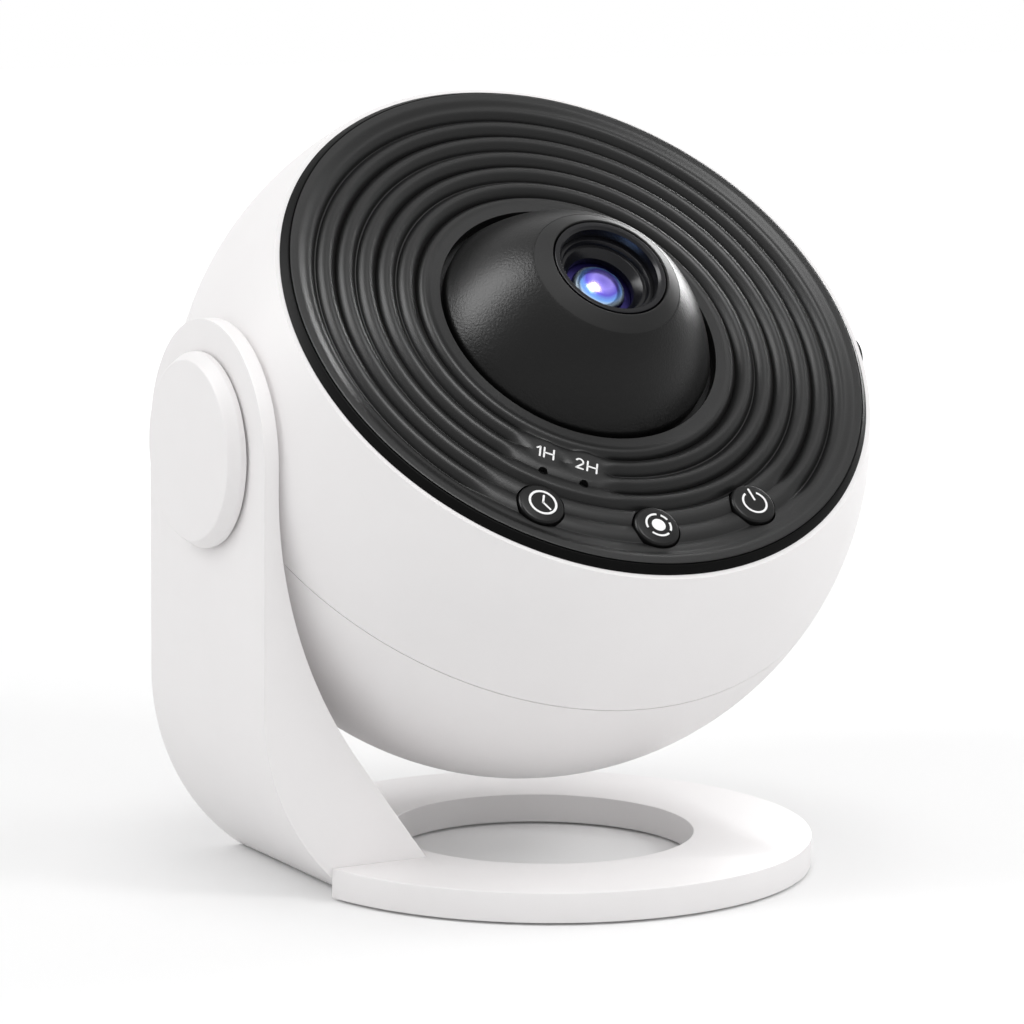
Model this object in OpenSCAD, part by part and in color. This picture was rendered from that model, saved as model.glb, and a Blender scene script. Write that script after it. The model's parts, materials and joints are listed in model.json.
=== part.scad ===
// Desk planetarium projector: a ball housing with a rippled face and a focus cone,
// carried on one side by a curved arm that stands on a flat ring.
// Millimetres, +Z up. The origin is on the table, under the middle of the overall size.
// The ball's own frame has its centre at the origin and +Z along the lens axis.

/* [Ball housing] */
// Outside diameter of the ball
ball_d = 140; // [132:1:150]
// Wall of the two half shells
ball_wall = 2.2; // [1.8:0.1:2.6]
// Height of the upper shell's rim above the ball's centre
rim_h = 32.2; // [31:0.2:34]
// Height of the joint between the two shells above the ball's centre
parting_h = 1; // [0.6:0.1:2]
// Gap that shows as the line between the two shells
parting_gap = 0.2; // [0.1:0.05:0.4]
// How far the pivot side of the ball is cut flat
flat_depth = 4; // [3.4:0.1:5]
// Thickness of the upper shell's inner flange, which carries the face
flange_t = 2; // [1.6:0.1:2.4]
// How far that flange reaches in under the face
flange_reach = 1.5; // [1:0.1:2]

/* [Face] */
// Width of the bezel's flat top
bezel_w = 1.7; // [1:0.1:2.4]
// Height of the bezel above the shell's rim, and width of its chamfer
bezel_h = 1.7; // [1.2:0.1:2.2]
// Step from the shell's edge in to the bezel
bezel_step = 0.8; // [0.4:0.1:1.2]
// Number of ripples moulded in the face
ripple_count = 6; // [4:1:7]
// Width of the flat ring between the ripples and the cone's hole
land_w = 3; // [2.4:0.1:4]
// Height of a ripple from trough to crest
ripple_h = 0.9; // [0.4:0.1:1.4]
// Thickness of the face plate at a trough
face_t = 2; // [1.6:0.1:2.6]

/* [Lens and focus] */
// Diameter of the focus cone where it leaves the face
cone_base_d = 55.3; // [53:0.1:56.2]
// Gap between the foot of the focus cone and the edge of the face's hole
cone_gap = 1.15; // [0.8:0.05:1.6]
// Diameter of the focus cone at its upper edge
cone_top_d = 30.4; // [28:0.2:34]
// Height of that edge above the ball's centre
cone_top_h = 47.4; // [45:0.2:49]
// Height of the cone's nose above that edge
nose_h = 2.1; // [1.5:0.1:3]
// How far the cone's side swells outwards
cone_swell = 1.2; // [0:0.1:2]
// Wall of the cone
cone_wall = 2.2; // [1.8:0.1:2.6]
// Outside diameter of the lens barrel
barrel_d = 22.9; // [21.9:0.1:23.5]
// Wall of the fixed lens tube round the barrel
tube_wall = 1.5; // [1.2:0.1:1.8]
// Travel of the barrel each way when the cone is turned
focus_travel = 1.5; // [1:0.1:1.8]
// Diameter of the front lens
front_lens_d = 15.2; // [14:0.2:16.4]
// Diameter of the rear lens
rear_lens_d = 19.4; // [18:0.2:19.8]

/* [Film tray] */
// Height of the film tray's middle above the ball's centre
tray_h = 16.2; // [15.8:0.1:16.8]
// Thickness of the tray
tray_t = 3; // [2.8:0.1:3.4]
// Width of the tray
tray_w = 41.4; // [40:0.2:44]
// Diameter of the film disc's frame
film_d = 36; // [32:0.5:37]
// Diameter of the tray's pull knob
knob_d = 9.2; // [8:0.1:11]
// How far the knob stands out from the tray's front
knob_len = 3.8; // [3:0.1:6]

/* [Buttons] */
// Diameter of a push button
button_d = 9.1; // [8:0.1:9.6]
// How far the buttons' middles lie inside the face's edge
button_inset = 7.2; // [6.8:0.1:7.6]
// How far a button stands above the face
button_h = 1.2; // [0.8:0.1:1.6]
// Angle from one button to the next
button_step = 26.7; // [24:0.1:27]
// Angle of the middle button round the face
button_mid_a = -94.8; // [-96:0.1:-93]
// Travel of a button
button_travel = 0.6; // [0.3:0.05:0.7]
// How far the two timer lights lie inside the buttons' circle
light_inset = 8.9; // [8.4:0.1:9.4]
// Diameter of a timer light's window
light_d = 1.9; // [1.5:0.1:2.4]

/* [Stand] */
// Clear height between the ball and the base ring
ball_clear = 8.7; // [6:0.1:14]
// Rest tilt of the lens axis from upright
tilt = 44.2; // [0:0.1:90]
// Outside diameter of the base ring
base_d = 107.8; // [104:0.2:112]
// Inside diameter of the base ring
base_id = 60.8; // [56:0.2:64]
// Height of the base ring's top above the table
base_top = 6.3; // [5.6:0.1:7.5]
// Gap under the base ring, held open by the foot pads
foot_gap = 0.5; // [0.3:0.05:0.8]
// How far the ring's edge lies inside the arm's outer face
base_inset = 13.3; // [12:0.1:16]
// How far the ring's centre lies in front of the pivot
base_forward = 14.2; // [10:0.2:16]
// Thickness of the ledge under the arm's foot
ledge_t = 2.3; // [2:0.1:2.8]
// Width of the arm
arm_w = 50.3; // [46:0.1:54]
// Thickness of the arm's upright part
arm_t = 3.1; // [2.8:0.1:4]
// Radius of the arm's outer bend
arm_outer_r = 46.4; // [42:0.2:48]
// Height where the outer bend starts
arm_bend_h = 38; // [34:0.5:40]
// Radius of the arm's inner bend
arm_inner_r = 90; // [80:1:100]
// How far below the pivot the inner bend starts
arm_inner_drop = 5.5; // [3:0.5:10]
// Gap between the ball's flat and the arm
arm_gap = 0.5; // [0.4:0.05:0.7]

/* [Pivot] */
// Diameter of the pivot shaft
shaft_d = 12; // [10:0.2:13]
// Diameter of the thin end of the shaft, which takes the nut
shaft_end_d = 10; // [8:0.2:10.4]
// Radial running clearance of shafts and barrels
run_fit = 0.05; // [0.02:0.01:0.08]
// Outside diameter of the pivot cap
cap_d = 37.8; // [34:0.1:42]
// Height of the cap above the arm
cap_h = 3.9; // [3.6:0.1:5]
// Width of the cap's bevel
cap_bevel = 1.45; // [0.8:0.05:2]
// Wall of the cap
cap_wall = 1.2; // [1:0.1:1.6]

/* [Hidden] */
$fn = 96;

// Small values that several pieces share
eps = 0.01;          // overlap that makes two shapes of one piece join
cut = 1;             // how far a cutting shape runs past the wall it cuts
fit = 0.1;           // gap between two fixed pieces that plug together
gap = 0.3;           // gap between pieces that move past each other
thread_fit = 0.02;   // gap between a screw and its hole

// Ball
ball_r = ball_d / 2;
cavity_r = ball_r - ball_wall;
flat_x = -(ball_r - flat_depth);
pad_t = ball_wall + 0.2;                  // wall behind the flat
pad_x = flat_x + pad_t;
upper_z = parting_h + parting_gap / 2;
lower_z = parting_h - parting_gap / 2;
flange_top = rim_h - flange_t;
flange_z = flange_top - flange_t;
shell_edge_r = sqrt(ball_r * ball_r - rim_h * rim_h);
tongue_w = 1.4;
tongue_h = 2;
tongue_r = cavity_r - gap;

// Face
bezel_or = shell_edge_r - bezel_step;
bezel_top_r = bezel_or - bezel_h;
bezel_ir = bezel_top_r - bezel_w;
bezel_top = rim_h + bezel_h;
bezel_plug_r = sqrt(cavity_r * cavity_r - rim_h * rim_h) - gap;
face_r = bezel_ir - 2 * fit;
trough_z = flange_top + face_t;
face_hole_d = cone_base_d + 2 * cone_gap;
face_hole_r = face_hole_d / 2;
flange_in_r = face_r - flange_reach;
face_rim_w = 1.35;                        // flat rim outside the ripples
land_slope = 0.6;                         // width of the slope down to the land
ripple_out = face_r - face_rim_w;         // outermost trough
ripple_in = face_hole_r + land_w;
ripple_pitch = (ripple_out - ripple_in) / ripple_count;
ripple_facets = 10;                       // straight steps along one ripple
face_rim_z = trough_z + ripple_h;
land_z = trough_z + ripple_h / 2;         // flat ring round the cone

// Four long screws hold the shells and the chassis together
post_r = 4.2;
boss_r = 3.6;
screw_circle_r = ball_r - 13;
screw_angles = [45, 135, 225, 315];
screw_r = 1.5;
screw_head_r = 2.8;
screw_head_h = 2;
screw_seat_z = 12;
screw_depth = 12;
screw_spare = 2;                          // empty end of a screw's hole
chassis_t = 2;
chassis_top = parting_h;
chassis_bottom = chassis_top - chassis_t;
chassis_r = cavity_r - 6.3;

// Pivot, along X through the ball's centre
shaft_r = shaft_d / 2;
shaft_end_r = shaft_end_d / 2;
hub_boss_wall = 3;
hub_boss_r = shaft_r + hub_boss_wall;
hub_flange_reach = 8;
hub_flange_r = shaft_r + hub_flange_reach;
hub_flange_t = 3.4;
hub_flat = hub_flange_r - 3;              // half height of the flange's two flats
hub_x = pad_x + fit;                      // outer side of the hub's flange
hub_in_x = hub_x + hub_flange_t;
hub_out_x = flat_x - 0.2;
collar_wall = 2.5;
collar_lip = 1.4;
collar_r = hub_flange_r + fit + collar_wall;
collar_in_x = hub_in_x + fit + collar_lip;
shaft_head_t = 2;
shaft_head_rim = 2;
arm_in_x = flat_x - arm_gap;
arm_out_x = arm_in_x - arm_t;
bush_r = shaft_r + 2;
spring_t = 0.5;
spring_rim = 2;
nut_t = 1.75;
nut_wall = 4.6;
nut_r = shaft_end_r + nut_wall;
cap_socket = 1;                           // depth of the cap's seat in the arm
seat_x = arm_out_x + cap_socket;
spring_x = seat_x - spring_t;
nut_x = spring_x - run_fit;
shaft_tip_x = nut_x - nut_t - 0.1;
cap_x = arm_out_x - cap_h;
cap_r = cap_d / 2;
cap_shadow = 0.5;                         // open line between the cap's rim and the arm
cap_spigot_r = cap_r - 1.7;
cap_inside_r = cap_spigot_r - 1.7;

// Stand
pivot_h = base_top + ball_clear + ball_r;
base_r = base_d / 2;
hole_r = base_id / 2;
base_x = arm_out_x + base_inset + base_r;
ledge_z = foot_gap + ledge_t;
foot_margin = 1.8;                        // least wall between the arm's foot and the hole
foot_x = base_x - hole_r - foot_margin;
inner_top = pivot_h - arm_inner_drop;
inner_drop = inner_top - base_top;
inner_run = foot_x - arm_in_x;
inner_reach = sqrt(pow(arm_inner_r - inner_run, 2) + pow(inner_drop, 2));
inner_sweep = atan2(inner_drop, arm_inner_r - inner_run) - acos(arm_inner_r / inner_reach);
pad_r = 4;
pad_h = 1.2;
pad_circle_r = (base_r + hole_r) / 2;
arm_screw_inset = 9.4;
arm_screw_x = foot_x - arm_screw_inset;
arm_screw_step = arm_w / 3;
arm_screw_reach = 6.7;
arm_screw_top = base_top + arm_screw_reach;
arm_screw_head_h = 1;

// Film tray and its guides
tray_top = tray_h + tray_t / 2;
tray_bottom = tray_h - tray_t / 2;
tray_half = tray_w / 2;
tray_tail = -ball_r * 0.6;
panel_half = tray_half + gap;
panel_top = tray_top + gap;
panel_bottom = tray_bottom - gap;
film_r = film_d / 2;
film_t = 0.4;
film_seat = tray_top - 1.3;
film_open_r = film_r - 2;
frame_h = 1.1;
tray_front_x = sqrt(ball_r * ball_r - tray_h * tray_h);
tray_sphere_r = ball_r - ball_wall * 0.6;
knob_rad = knob_d / 2;
knob_neck_r = tray_t / 2 + 0.2;
knob_seat_x = tray_front_x - 0.9;
knob_x0 = sqrt(ball_r * ball_r - pow(tray_h - knob_rad, 2)) + gap;
knob_x1 = tray_front_x + knob_len;
knob_screw_r = 1;
knob_screw_len = 6;                       // how far the screw reaches into the tray
knob_edge = 0.7;                          // rounding of the knob's rim
notch_r = 6;
film_rim = 1;                             // how far the frame reaches over the film disc
guide_wall = 3.3;
guide_in = tray_half + gap;
guide_out = guide_in + guide_wall;
guide_x0 = -34;
guide_x1 = 54;
guide_top = tray_top + 2.8;
rail_w = 2.7;
rail_t = 1.5;
guide_tab = 5.7;
guide_tab_t = 2;
guide_screw_xs = [-26, 30];
guide_screw_r = 1.2;
guide_head_r = 2.3;
guide_head_h = 1.5;
guide_tab_half = 4;

// Lens tube, barrel and focus cone
barrel_r = barrel_d / 2;
tube_bore_r = barrel_r + run_fit;
tube_r = tube_bore_r + tube_wall;
tube_plate_t = 2;
tube_plate_x = 28;
tube_screw_in = 4;                        // how far the tube's screws lie inside its foot plate
tube_screw_r = 1;
tube_head_r = 1.9;
tube_head_h = 1.2;
tube_screw_len = 6;
tube_plate_top = guide_top + tube_plate_t;
tube_top = cone_top_h - 3.4;
cone_bottom = flange_top - 1.5;
shoulder_top = cone_bottom - gap;
shoulder_t = 1.4;
shoulder_rim = 1.3;
hub_wall = 2.15;
cone_hub_r = tube_r + run_fit + hub_wall;
cone_r = cone_base_d / 2;
cone_top_r = cone_top_d / 2;
nose_top = cone_top_h + nose_h;
nose_r = barrel_r + 0.35;
cone_foot_z = rim_h + 0.2;
cone_flange_r = face_hole_r + 1.2;
cone_flange_top = flange_top - gap;
cone_run = cone_r - cone_top_r;
cone_rise = cone_top_h - cone_foot_z;
cone_side = sqrt(cone_run * cone_run + cone_rise * cone_rise);
cone_in_r = cone_r - cone_wall * cone_rise / cone_side;
cone_in_z = cone_foot_z - cone_wall * cone_run / cone_side;
cone_slope = cone_rise / cone_run;
cone_steps = 12;
lens_steps = 14;                          // straight steps along a lens face
dome_steps = 15;                          // straight steps along the front lens's dome
pin_z = tube_top - 8;
pin_r = 1;
pin_in_r = barrel_r - 1.2;
pin_out_r = cone_hub_r - 1.1;
channel_r = cone_hub_r - 0.8;
channel_half = pin_r + focus_travel + gap;
barrel_top = nose_top - 0.2;
barrel_bottom = guide_top + focus_travel + gap + 0.5;
front_lens_r = front_lens_d / 2;
front_bore_r = front_lens_r + 0.05;
front_seat_z = barrel_top - 8.3;
front_edge_t = 1.3;
front_dome_r = 5.5;
front_dome_h = 3;
front_back_h = 1;
retainer_z = front_seat_z + front_edge_t + 0.4;
retainer_h = 4;
retainer_grip = 0.7;                      // how far the retainer reaches over the lens's edge
retainer_nose = 0.34;
retainer_step = 1.2;
retainer_chamfer = 0.3;
mouth_r = barrel_r - 1.45;
mouth_bevel = 0.5;
stop_front_h = 1.2;                       // heights of the slopes from the two lens seats to the stop
stop_rear_h = 3;
rear_lens_r = rear_lens_d / 2;
rear_bore_r = rear_lens_r + 0.05;
rear_seat_z = barrel_bottom + 8;
rear_edge_t = 3;
rear_rise_up = 2.2;
rear_rise_down = 0.8;
stop_r = front_lens_r - 0.9;              // clear opening between the two lenses

// Lamp and condenser
condenser_r = 12;
condenser_edge = 1.6;
condenser_crown = 4.4;
holder_wall = 2.4;
holder_h = 7;
holder_floor = 2;
lamp_opening_r = condenser_r - 1.2;
lamp_board_r = 10;
lamp_board_t = 1.5;
sink_top = chassis_bottom - 11;
sink_r = 18;
sink_plate_t = 2.5;
sink_depth = 16;
fin_count = 7;
fin_t = 1.4;
fin_inset = 2;                            // how far the outer fins stand in from the plate's edge
sink_post_r = 2.2;
sink_post_circle = 15;
chip_w = 5;
chip_t = 1.2;

// Main board with the power socket, behind the lamp
board_t = 1.6;
board_top = chassis_bottom - 17.6;
board_half = 16;
board_y0 = 24;
board_y1 = cavity_r - 6.3;
socket_w = 8.94;
socket_h = 3.26;
socket_len = 7.8;
socket_wall = 0.35;
socket_back = 1.2;                        // thickness of the socket's closed end
contact_w = 6.7;
contact_t = 0.7;
contact_in = 0.6;                         // how far the contact tongue stands back from the mouth
socket_z = board_top + socket_h / 2;
socket_mouth = sqrt(ball_r * ball_r - socket_z * socket_z) - 1.6;
board_post_r = 2;
board_post_xs = [-12, 12];
board_post_ys = [board_y0 + 6, board_y0 + 28];
controller_x = -5.5;
controller_y = board_y0 + 13.5;
controller_w = 7;
controller_h = 1;
capacitor_x = 6;
capacitor_y = board_y0 + 16;
capacitor_r = 4;
capacitor_h = 8;
coil_x = -6.5;
coil_y = board_y0 + 23.5;
coil_w = 7;
coil_h = 3;

// Buttons and the key board
button_r = face_r - button_inset;
light_r = button_r - light_inset;
button_rad = button_d / 2;
button_edge = 0.7;                        // rounding of a button's top edge
button_dome = 0.1;
button_hole_r = button_rad + 0.35;
button_top = face_rim_z + button_h;
button_flange_r = button_hole_r + 0.4;
button_flange_t = 1;
button_angles = [button_mid_a - button_step, button_mid_a, button_mid_a + button_step];
light_side = 1.2;                         // angle from the timer button out to the first light
light_step = 11.4;                        // angle from the first light to the second
light_first = button_mid_a - button_step - light_side;
light_angles = [light_first, light_first + light_step];
key_top = flange_top - 4.6;
key_t = 1.6;
key_in_r = light_r - 3.2;
key_out_r = flange_in_r - 1.1;
key_half_a = 39.5;
light_chip_w = 1.6;
light_chip_h = 0.8;
pipe_drop = 0.4;                          // how far a light pipe ends below the troughs
pipe_rim = 0.6;
pipe_rim_t = 1;
switch_w = 6;
switch_h = 1.6;
plunger_r = 1.75;
plunger_top = flange_top - gap - button_flange_t - button_travel - run_fit;
key_post_rs = [button_r - 4.6, button_r - 4.6, light_r + 0.3];
key_post_angles = [-106, -81, -57];
key_post_r = 2;
key_screw_r = 0.9;
key_head_r = 1.9;
key_head_h = 1.2;
label_r = light_r - 4.6;                  // the smooth pads of the timer's marks
label_angles = [-123.4, -110.5];
label_turn = -27;
label_w = 7;
label_h = 4.6;
label_corner = 1;

// Middle of the overall size, measured from under the ball's centre
mid_x = (cap_x + knob_x1) / 2;
mid_y = (ball_r - base_forward - base_r) / 2;

// Colours, as the object shows them
white = "#f3f1f1";
charcoal = "#2b2b2b";
black = "#141414";
steel = "#b9bcc0";
brass = "#b9995a";
board_green = "#1f5a3a";
rubber = "#3a3a3a";
glass_tint = "#8d86c9";

// ---- frames and shared shapes ----

// Places the stand's shapes, which are drawn from the point under the ball's centre
module stand_frame() {
    translate([-mid_x, -mid_y, 0]) children();
}

// Places shapes drawn from the pivot, without the tilt
module pivot_frame() {
    translate([-mid_x, -mid_y, pivot_h]) children();
}

// Places the ball's own frame at the pivot, tilted as it stands at rest
module ball_frame() {
    pivot_frame() rotate([tilt, 0, 0]) children();
}

// A point at a radius and an angle round the lens axis
module at(r, a) {
    rotate([0, 0, a]) translate([r, 0, 0]) children();
}

// A cylinder from one height to another
module rod(r, z0, z1) {
    translate([0, 0, z0]) cylinder(r = r, h = z1 - z0);
}

// A cylinder along the pivot axis
module pivot_rod(r, x0, x1) {
    translate([x0, 0, 0]) rotate([0, 90, 0]) cylinder(r = r, h = x1 - x0);
}

// A tube from one height to another
module tube(ro, ri, z0, z1) {
    difference() {
        rod(ro, z0, z1);
        rod(ri, z0 - cut, z1 + cut);
    }
}

// A block by its lowest and highest corners
module block(low, high) {
    translate(low) cube(high - low);
}

// A square block that stands on a board
module tile(w, h) {
    translate([-w / 2, -w / 2, 0]) cube([w, w, h]);
}

// The part of a ball between two heights, cut flat on the pivot side
module ball_zone(r, z0, z1, x0) {
    intersection() {
        rotate_extrude() intersection() {
            circle(r = r);
            translate([0, z0]) square([r, z1 - z0]);
        }
        block([x0, -r, z0], [r, r, z1]);
    }
}

// The wall of the ball between two heights
module ball_wall_zone(z0, z1) {
    difference() {
        ball_zone(ball_r, z0, z1, flat_x);
        ball_zone(cavity_r, z0 - cut, z1 + cut, pad_x);
    }
}

// A screw with a round head, pointing down from its seat
module screw(r, head_r, head_h, seat_z, tip_z) {
    rod(head_r, seat_z, seat_z + head_h);
    rod(r, tip_z, seat_z + eps);
}

// The collar inside the shells that grips the pivot hub
module hub_collar() {
    difference() {
        pivot_rod(collar_r, pad_x - eps, collar_in_x);
        hub_flange(fit);
        pivot_rod(hub_flange_r - collar_wall, pad_x - cut, collar_in_x + cut);
    }
}

// The hub's flange with two flats, grown by a clearance
module hub_flange(grow) {
    intersection() {
        pivot_rod(hub_flange_r + grow, hub_x - grow, hub_in_x + grow);
        block([hub_x - grow, -ball_r, -hub_flat - grow], [hub_in_x + grow, ball_r, hub_flat + grow]);
    }
}

// ---- stand ----

// Side view of everything inside the arm's outer face
module arm_outline() {
    translate([arm_out_x, arm_bend_h]) square([ball_r, pivot_h + arm_w - arm_bend_h]);
    intersection() {
        translate([arm_out_x + arm_outer_r, arm_bend_h]) circle(r = arm_outer_r, $fn = 180);
        translate([arm_out_x, 0]) square([arm_outer_r, arm_bend_h]);
    }
}

// Side view of the open space inside the arm's inner face, above the base
module arm_hollow() {
    bend_x = arm_in_x + arm_inner_r;
    end_x = bend_x - arm_inner_r * cos(inner_sweep);
    end_z = inner_top - arm_inner_r * sin(inner_sweep);
    far = bend_x + arm_inner_r;
    translate([arm_in_x, inner_top]) square([far - arm_in_x, pivot_h]);
    intersection() {
        translate([bend_x, inner_top]) circle(r = arm_inner_r, $fn = 240);
        translate([arm_in_x, end_z]) square([far - arm_in_x, inner_top - end_z]);
    }
    polygon([[end_x, end_z], [foot_x, base_top], [foot_x, -cut], [far, -cut], [far, end_z]]);
}

// Front view of the arm: straight sides and a round top
module arm_front_view() {
    translate([0, pivot_h]) circle(r = arm_w / 2);
    translate([-arm_w / 2, 0]) square([arm_w, pivot_h]);
}

// A side view stretched across the arm's width
module across(width) {
    translate([0, width / 2, 0]) rotate([90, 0, 0]) linear_extrude(width) children();
}

// Room for the ball, swept about the pivot
module ball_relief() {
    rotate([0, 90, 0]) rotate_extrude() intersection() {
        circle(r = ball_r + 2 * gap, $fn = 240);
        translate([0, arm_in_x]) square([ball_r + cut, ball_r]);
    }
}

module arm() {
    color(white) stand_frame() difference() {
        intersection() {
            across(arm_w) difference() {
                arm_outline();
                arm_hollow();
            }
            translate([arm_out_x - cut, 0, 0]) rotate([90, 0, 90])
                linear_extrude(ball_r) arm_front_view();
            block([arm_out_x - cut, -arm_w, ledge_z], [0, arm_w, pivot_h + arm_w]);
        }
        translate([0, 0, pivot_h]) {
            ball_relief();
            pivot_rod(bush_r, arm_out_x - cut, arm_in_x + cut);
            pivot_rod(cap_spigot_r + fit, arm_out_x - cut, seat_x);
        }
        for (i = [-1, 0, 1]) translate([arm_screw_x, i * arm_screw_step, 0])
            rod(screw_r + thread_fit, 0, arm_screw_top + fit);
    }
}

module base_ring() {
    color(white) stand_frame() difference() {
        union() {
            translate([base_x, -base_forward, 0]) rod(base_r, foot_gap, base_top);
            block([arm_out_x, -arm_w / 2, foot_gap], [foot_x, arm_w / 2, ledge_z]);
        }
        translate([base_x, -base_forward, 0]) rod(hole_r, 0, base_top + cut);
        // the seat of the arm's foot
        block([arm_out_x - cut, -arm_w / 2, ledge_z], [foot_x, arm_w / 2, base_top + cut]);
        // the ledge follows the arm's outer bend
        difference() {
            block([arm_out_x - cut, -arm_w / 2, 0], [foot_x, arm_w / 2, base_top + cut]);
            across(arm_w + cut) arm_outline();
        }
        for (i = [-1, 0, 1]) translate([arm_screw_x, i * arm_screw_step, 0]) {
            rod(screw_r + 2 * fit, 0, base_top);
            rod(screw_head_r + gap, 0, foot_gap + arm_screw_head_h + fit);
        }
        pad_places() rod(pad_r + fit, 0, pad_h);
    }
}

module pad_places() {
    for (a = screw_angles) translate([base_x, -base_forward, 0]) at(pad_circle_r, a) children();
}

module foot_pads() {
    color(rubber) stand_frame() pad_places() rod(pad_r, 0, pad_h);
}

module arm_screws() {
    color(steel) stand_frame() for (i = [-1, 0, 1]) translate([arm_screw_x, i * arm_screw_step, 0]) {
        rod(screw_head_r, foot_gap + fit, foot_gap + fit + arm_screw_head_h);
        rod(screw_r, foot_gap + fit + arm_screw_head_h - eps, arm_screw_top);
    }
}

module pivot_bush() {
    color(brass) pivot_frame() difference() {
        pivot_rod(bush_r, seat_x, arm_in_x);
        pivot_rod(shaft_r + run_fit, arm_out_x, arm_in_x + cut);
    }
}

module friction_washer() {
    color(black) pivot_frame() difference() {
        pivot_rod(hub_boss_r, arm_in_x, hub_out_x - run_fit);
        pivot_rod(shaft_r + gap, arm_in_x - cut, flat_x);
    }
}

module wave_washer() {
    color(steel) pivot_frame() difference() {
        pivot_rod(bush_r + spring_rim, spring_x, seat_x);
        pivot_rod(shaft_r + gap, spring_x - cut, arm_in_x);
    }
}

module pivot_cap() {
    color(white) pivot_frame() rotate([0, -90, 0]) rotate_extrude() difference() {
        polygon([[0, fit - seat_x], [cap_spigot_r, fit - seat_x],
            [cap_spigot_r, -arm_out_x + cap_shadow], [cap_r, -arm_out_x + cap_shadow],
            [cap_r, -cap_x - 1.5 * cap_bevel], [cap_r - cap_bevel, -cap_x], [0, -cap_x]]);
        translate([-cut, 0]) square([cap_inside_r + cut, -cap_x - cap_wall]);
    }
}

// ---- ball housing ----

module screw_places() {
    for (a = screw_angles) at(screw_circle_r, a) children();
}

module lower_shell() {
    color(white) ball_frame() difference() {
        union() {
            ball_wall_zone(-ball_r, lower_z);
            intersection() {
                screw_places() rod(boss_r, -ball_r, chassis_bottom);
                sphere(r = ball_r - ball_wall / 2);
            }
            intersection() {
                hub_collar();
                block([-ball_r, -ball_r, -ball_r], [ball_r, ball_r, lower_z]);
            }
            // the tongue that lines the two shells up
            difference() {
                union() {
                    tube(tongue_r, tongue_r - tongue_w, lower_z - eps, lower_z + tongue_h);
                    tube(cavity_r + ball_wall / 2, tongue_r - tongue_w, lower_z - tongue_h, lower_z);
                }
                block([-ball_r, -ball_r, -ball_r], [collar_in_x + cut, ball_r, ball_r]);
            }
        }
        screw_places() rod(screw_r + thread_fit, -screw_depth, chassis_bottom + cut);
        pivot_rod(hub_boss_r + gap, flat_x - cut, pad_x + cut);
        socket_hole();
    }
}

// The round-ended hole for the power socket
module socket_hole() {
    translate([0, socket_mouth - socket_len, socket_z]) rotate([-90, 0, 0])
        linear_extrude(ball_r) stadium(socket_w + 2 * gap, socket_h + 2 * gap);
}

module stadium(w, h) {
    square([w - h, h], center = true);
    for (s = [-1, 1]) translate([s * (w - h) / 2, 0]) circle(r = h / 2, $fn = 48);
}

module upper_shell() {
    color(white) ball_frame() difference() {
        union() {
            ball_wall_zone(upper_z, rim_h);
            tube(sqrt(ball_r * ball_r - flange_top * flange_top) - ball_wall / 2, flange_in_r,
                flange_z, flange_top);
            screw_places() rod(post_r, chassis_top, flange_top);
            intersection() {
                hub_collar();
                block([-ball_r, -ball_r, upper_z], [ball_r, ball_r, flange_z]);
            }
        }
        screw_places() {
            rod(screw_r + fit, 0, flange_top);
            rod(screw_head_r + 2 * fit, screw_seat_z, flange_top + cut);
        }
        pivot_rod(hub_boss_r + gap, flat_x - cut, pad_x + cut);
        // the slot for the film tray
        block([0, -panel_half - gap, panel_bottom - gap], [ball_r, panel_half + gap, panel_top + gap]);
    }
}

module shell_screws() {
    color(steel) ball_frame() screw_places()
        screw(screw_r, screw_head_r, screw_head_h, screw_seat_z, chassis_bottom - screw_depth + screw_spare);
}

module bezel_ring() {
    color(black) ball_frame() rotate_extrude()
        polygon([[bezel_ir, flange_top], [bezel_plug_r, flange_top], [bezel_plug_r, rim_h],
            [bezel_or, rim_h], [bezel_top_r, bezel_top], [bezel_ir, bezel_top]]);
}

// Height of the rippled face at a radius
function ripple_z(r) = trough_z + ripple_h * (1 - cos(360 * (ripple_out - r) / ripple_pitch)) / 2;

module face_plate() {
    steps = ripple_count * ripple_facets;
    color(charcoal) ball_frame() difference() {
        union() {
            rotate_extrude() polygon(concat(
                [[face_hole_r, flange_top], [face_r, flange_top], [face_r, face_rim_z]],
                [for (i = [0 : steps]) let (r = ripple_out - i * ripple_pitch / ripple_facets)
                    [r, ripple_z(r)]],
                [[ripple_in - land_slope, land_z], [face_hole_r, land_z]]));
            for (a = label_angles) at(label_r, a) rotate([0, 0, label_turn - a]) label_pad();
            key_post_places() rod(key_post_r, key_top, flange_top + face_t / 2);
        }
        for (a = button_angles) at(button_r, a) rod(button_hole_r, flange_top - cut, button_top);
        for (a = light_angles) at(light_r, a) rod(light_d / 2, flange_top - cut, button_top);
        key_post_places() rod(key_screw_r + thread_fit, key_top - cut, flange_top);
    }
}

// A smooth pad with round corners, level with the ripples' crests
module label_pad() {
    x = label_w / 2 - label_corner;
    y = label_h / 2 - label_corner;
    translate([0, 0, trough_z - face_t / 2]) linear_extrude(ripple_h + face_t / 2) {
        square([2 * x, label_h], center = true);
        square([label_w, 2 * y], center = true);
        for (sx = [-1, 1], sy = [-1, 1]) translate([sx * x, sy * y]) circle(r = label_corner, $fn = 32);
    }
}

// ---- chassis, lamp and boards ----

module chassis() {
    color(black) ball_frame() difference() {
        rod(chassis_r, chassis_bottom, chassis_top);
        rod(lamp_opening_r, chassis_bottom - cut, chassis_top + cut);
        screw_places() rod(screw_r + 2 * fit, chassis_bottom - cut, chassis_top + cut);
        guide_screw_places() rod(guide_screw_r + thread_fit, chassis_bottom - cut, chassis_top + cut);
        // room for the pivot hub
        block([-ball_r, -collar_r - cut, chassis_bottom - cut],
            [collar_in_x + shaft_head_t + cut, collar_r + cut, chassis_top + cut]);
    }
}

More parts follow.
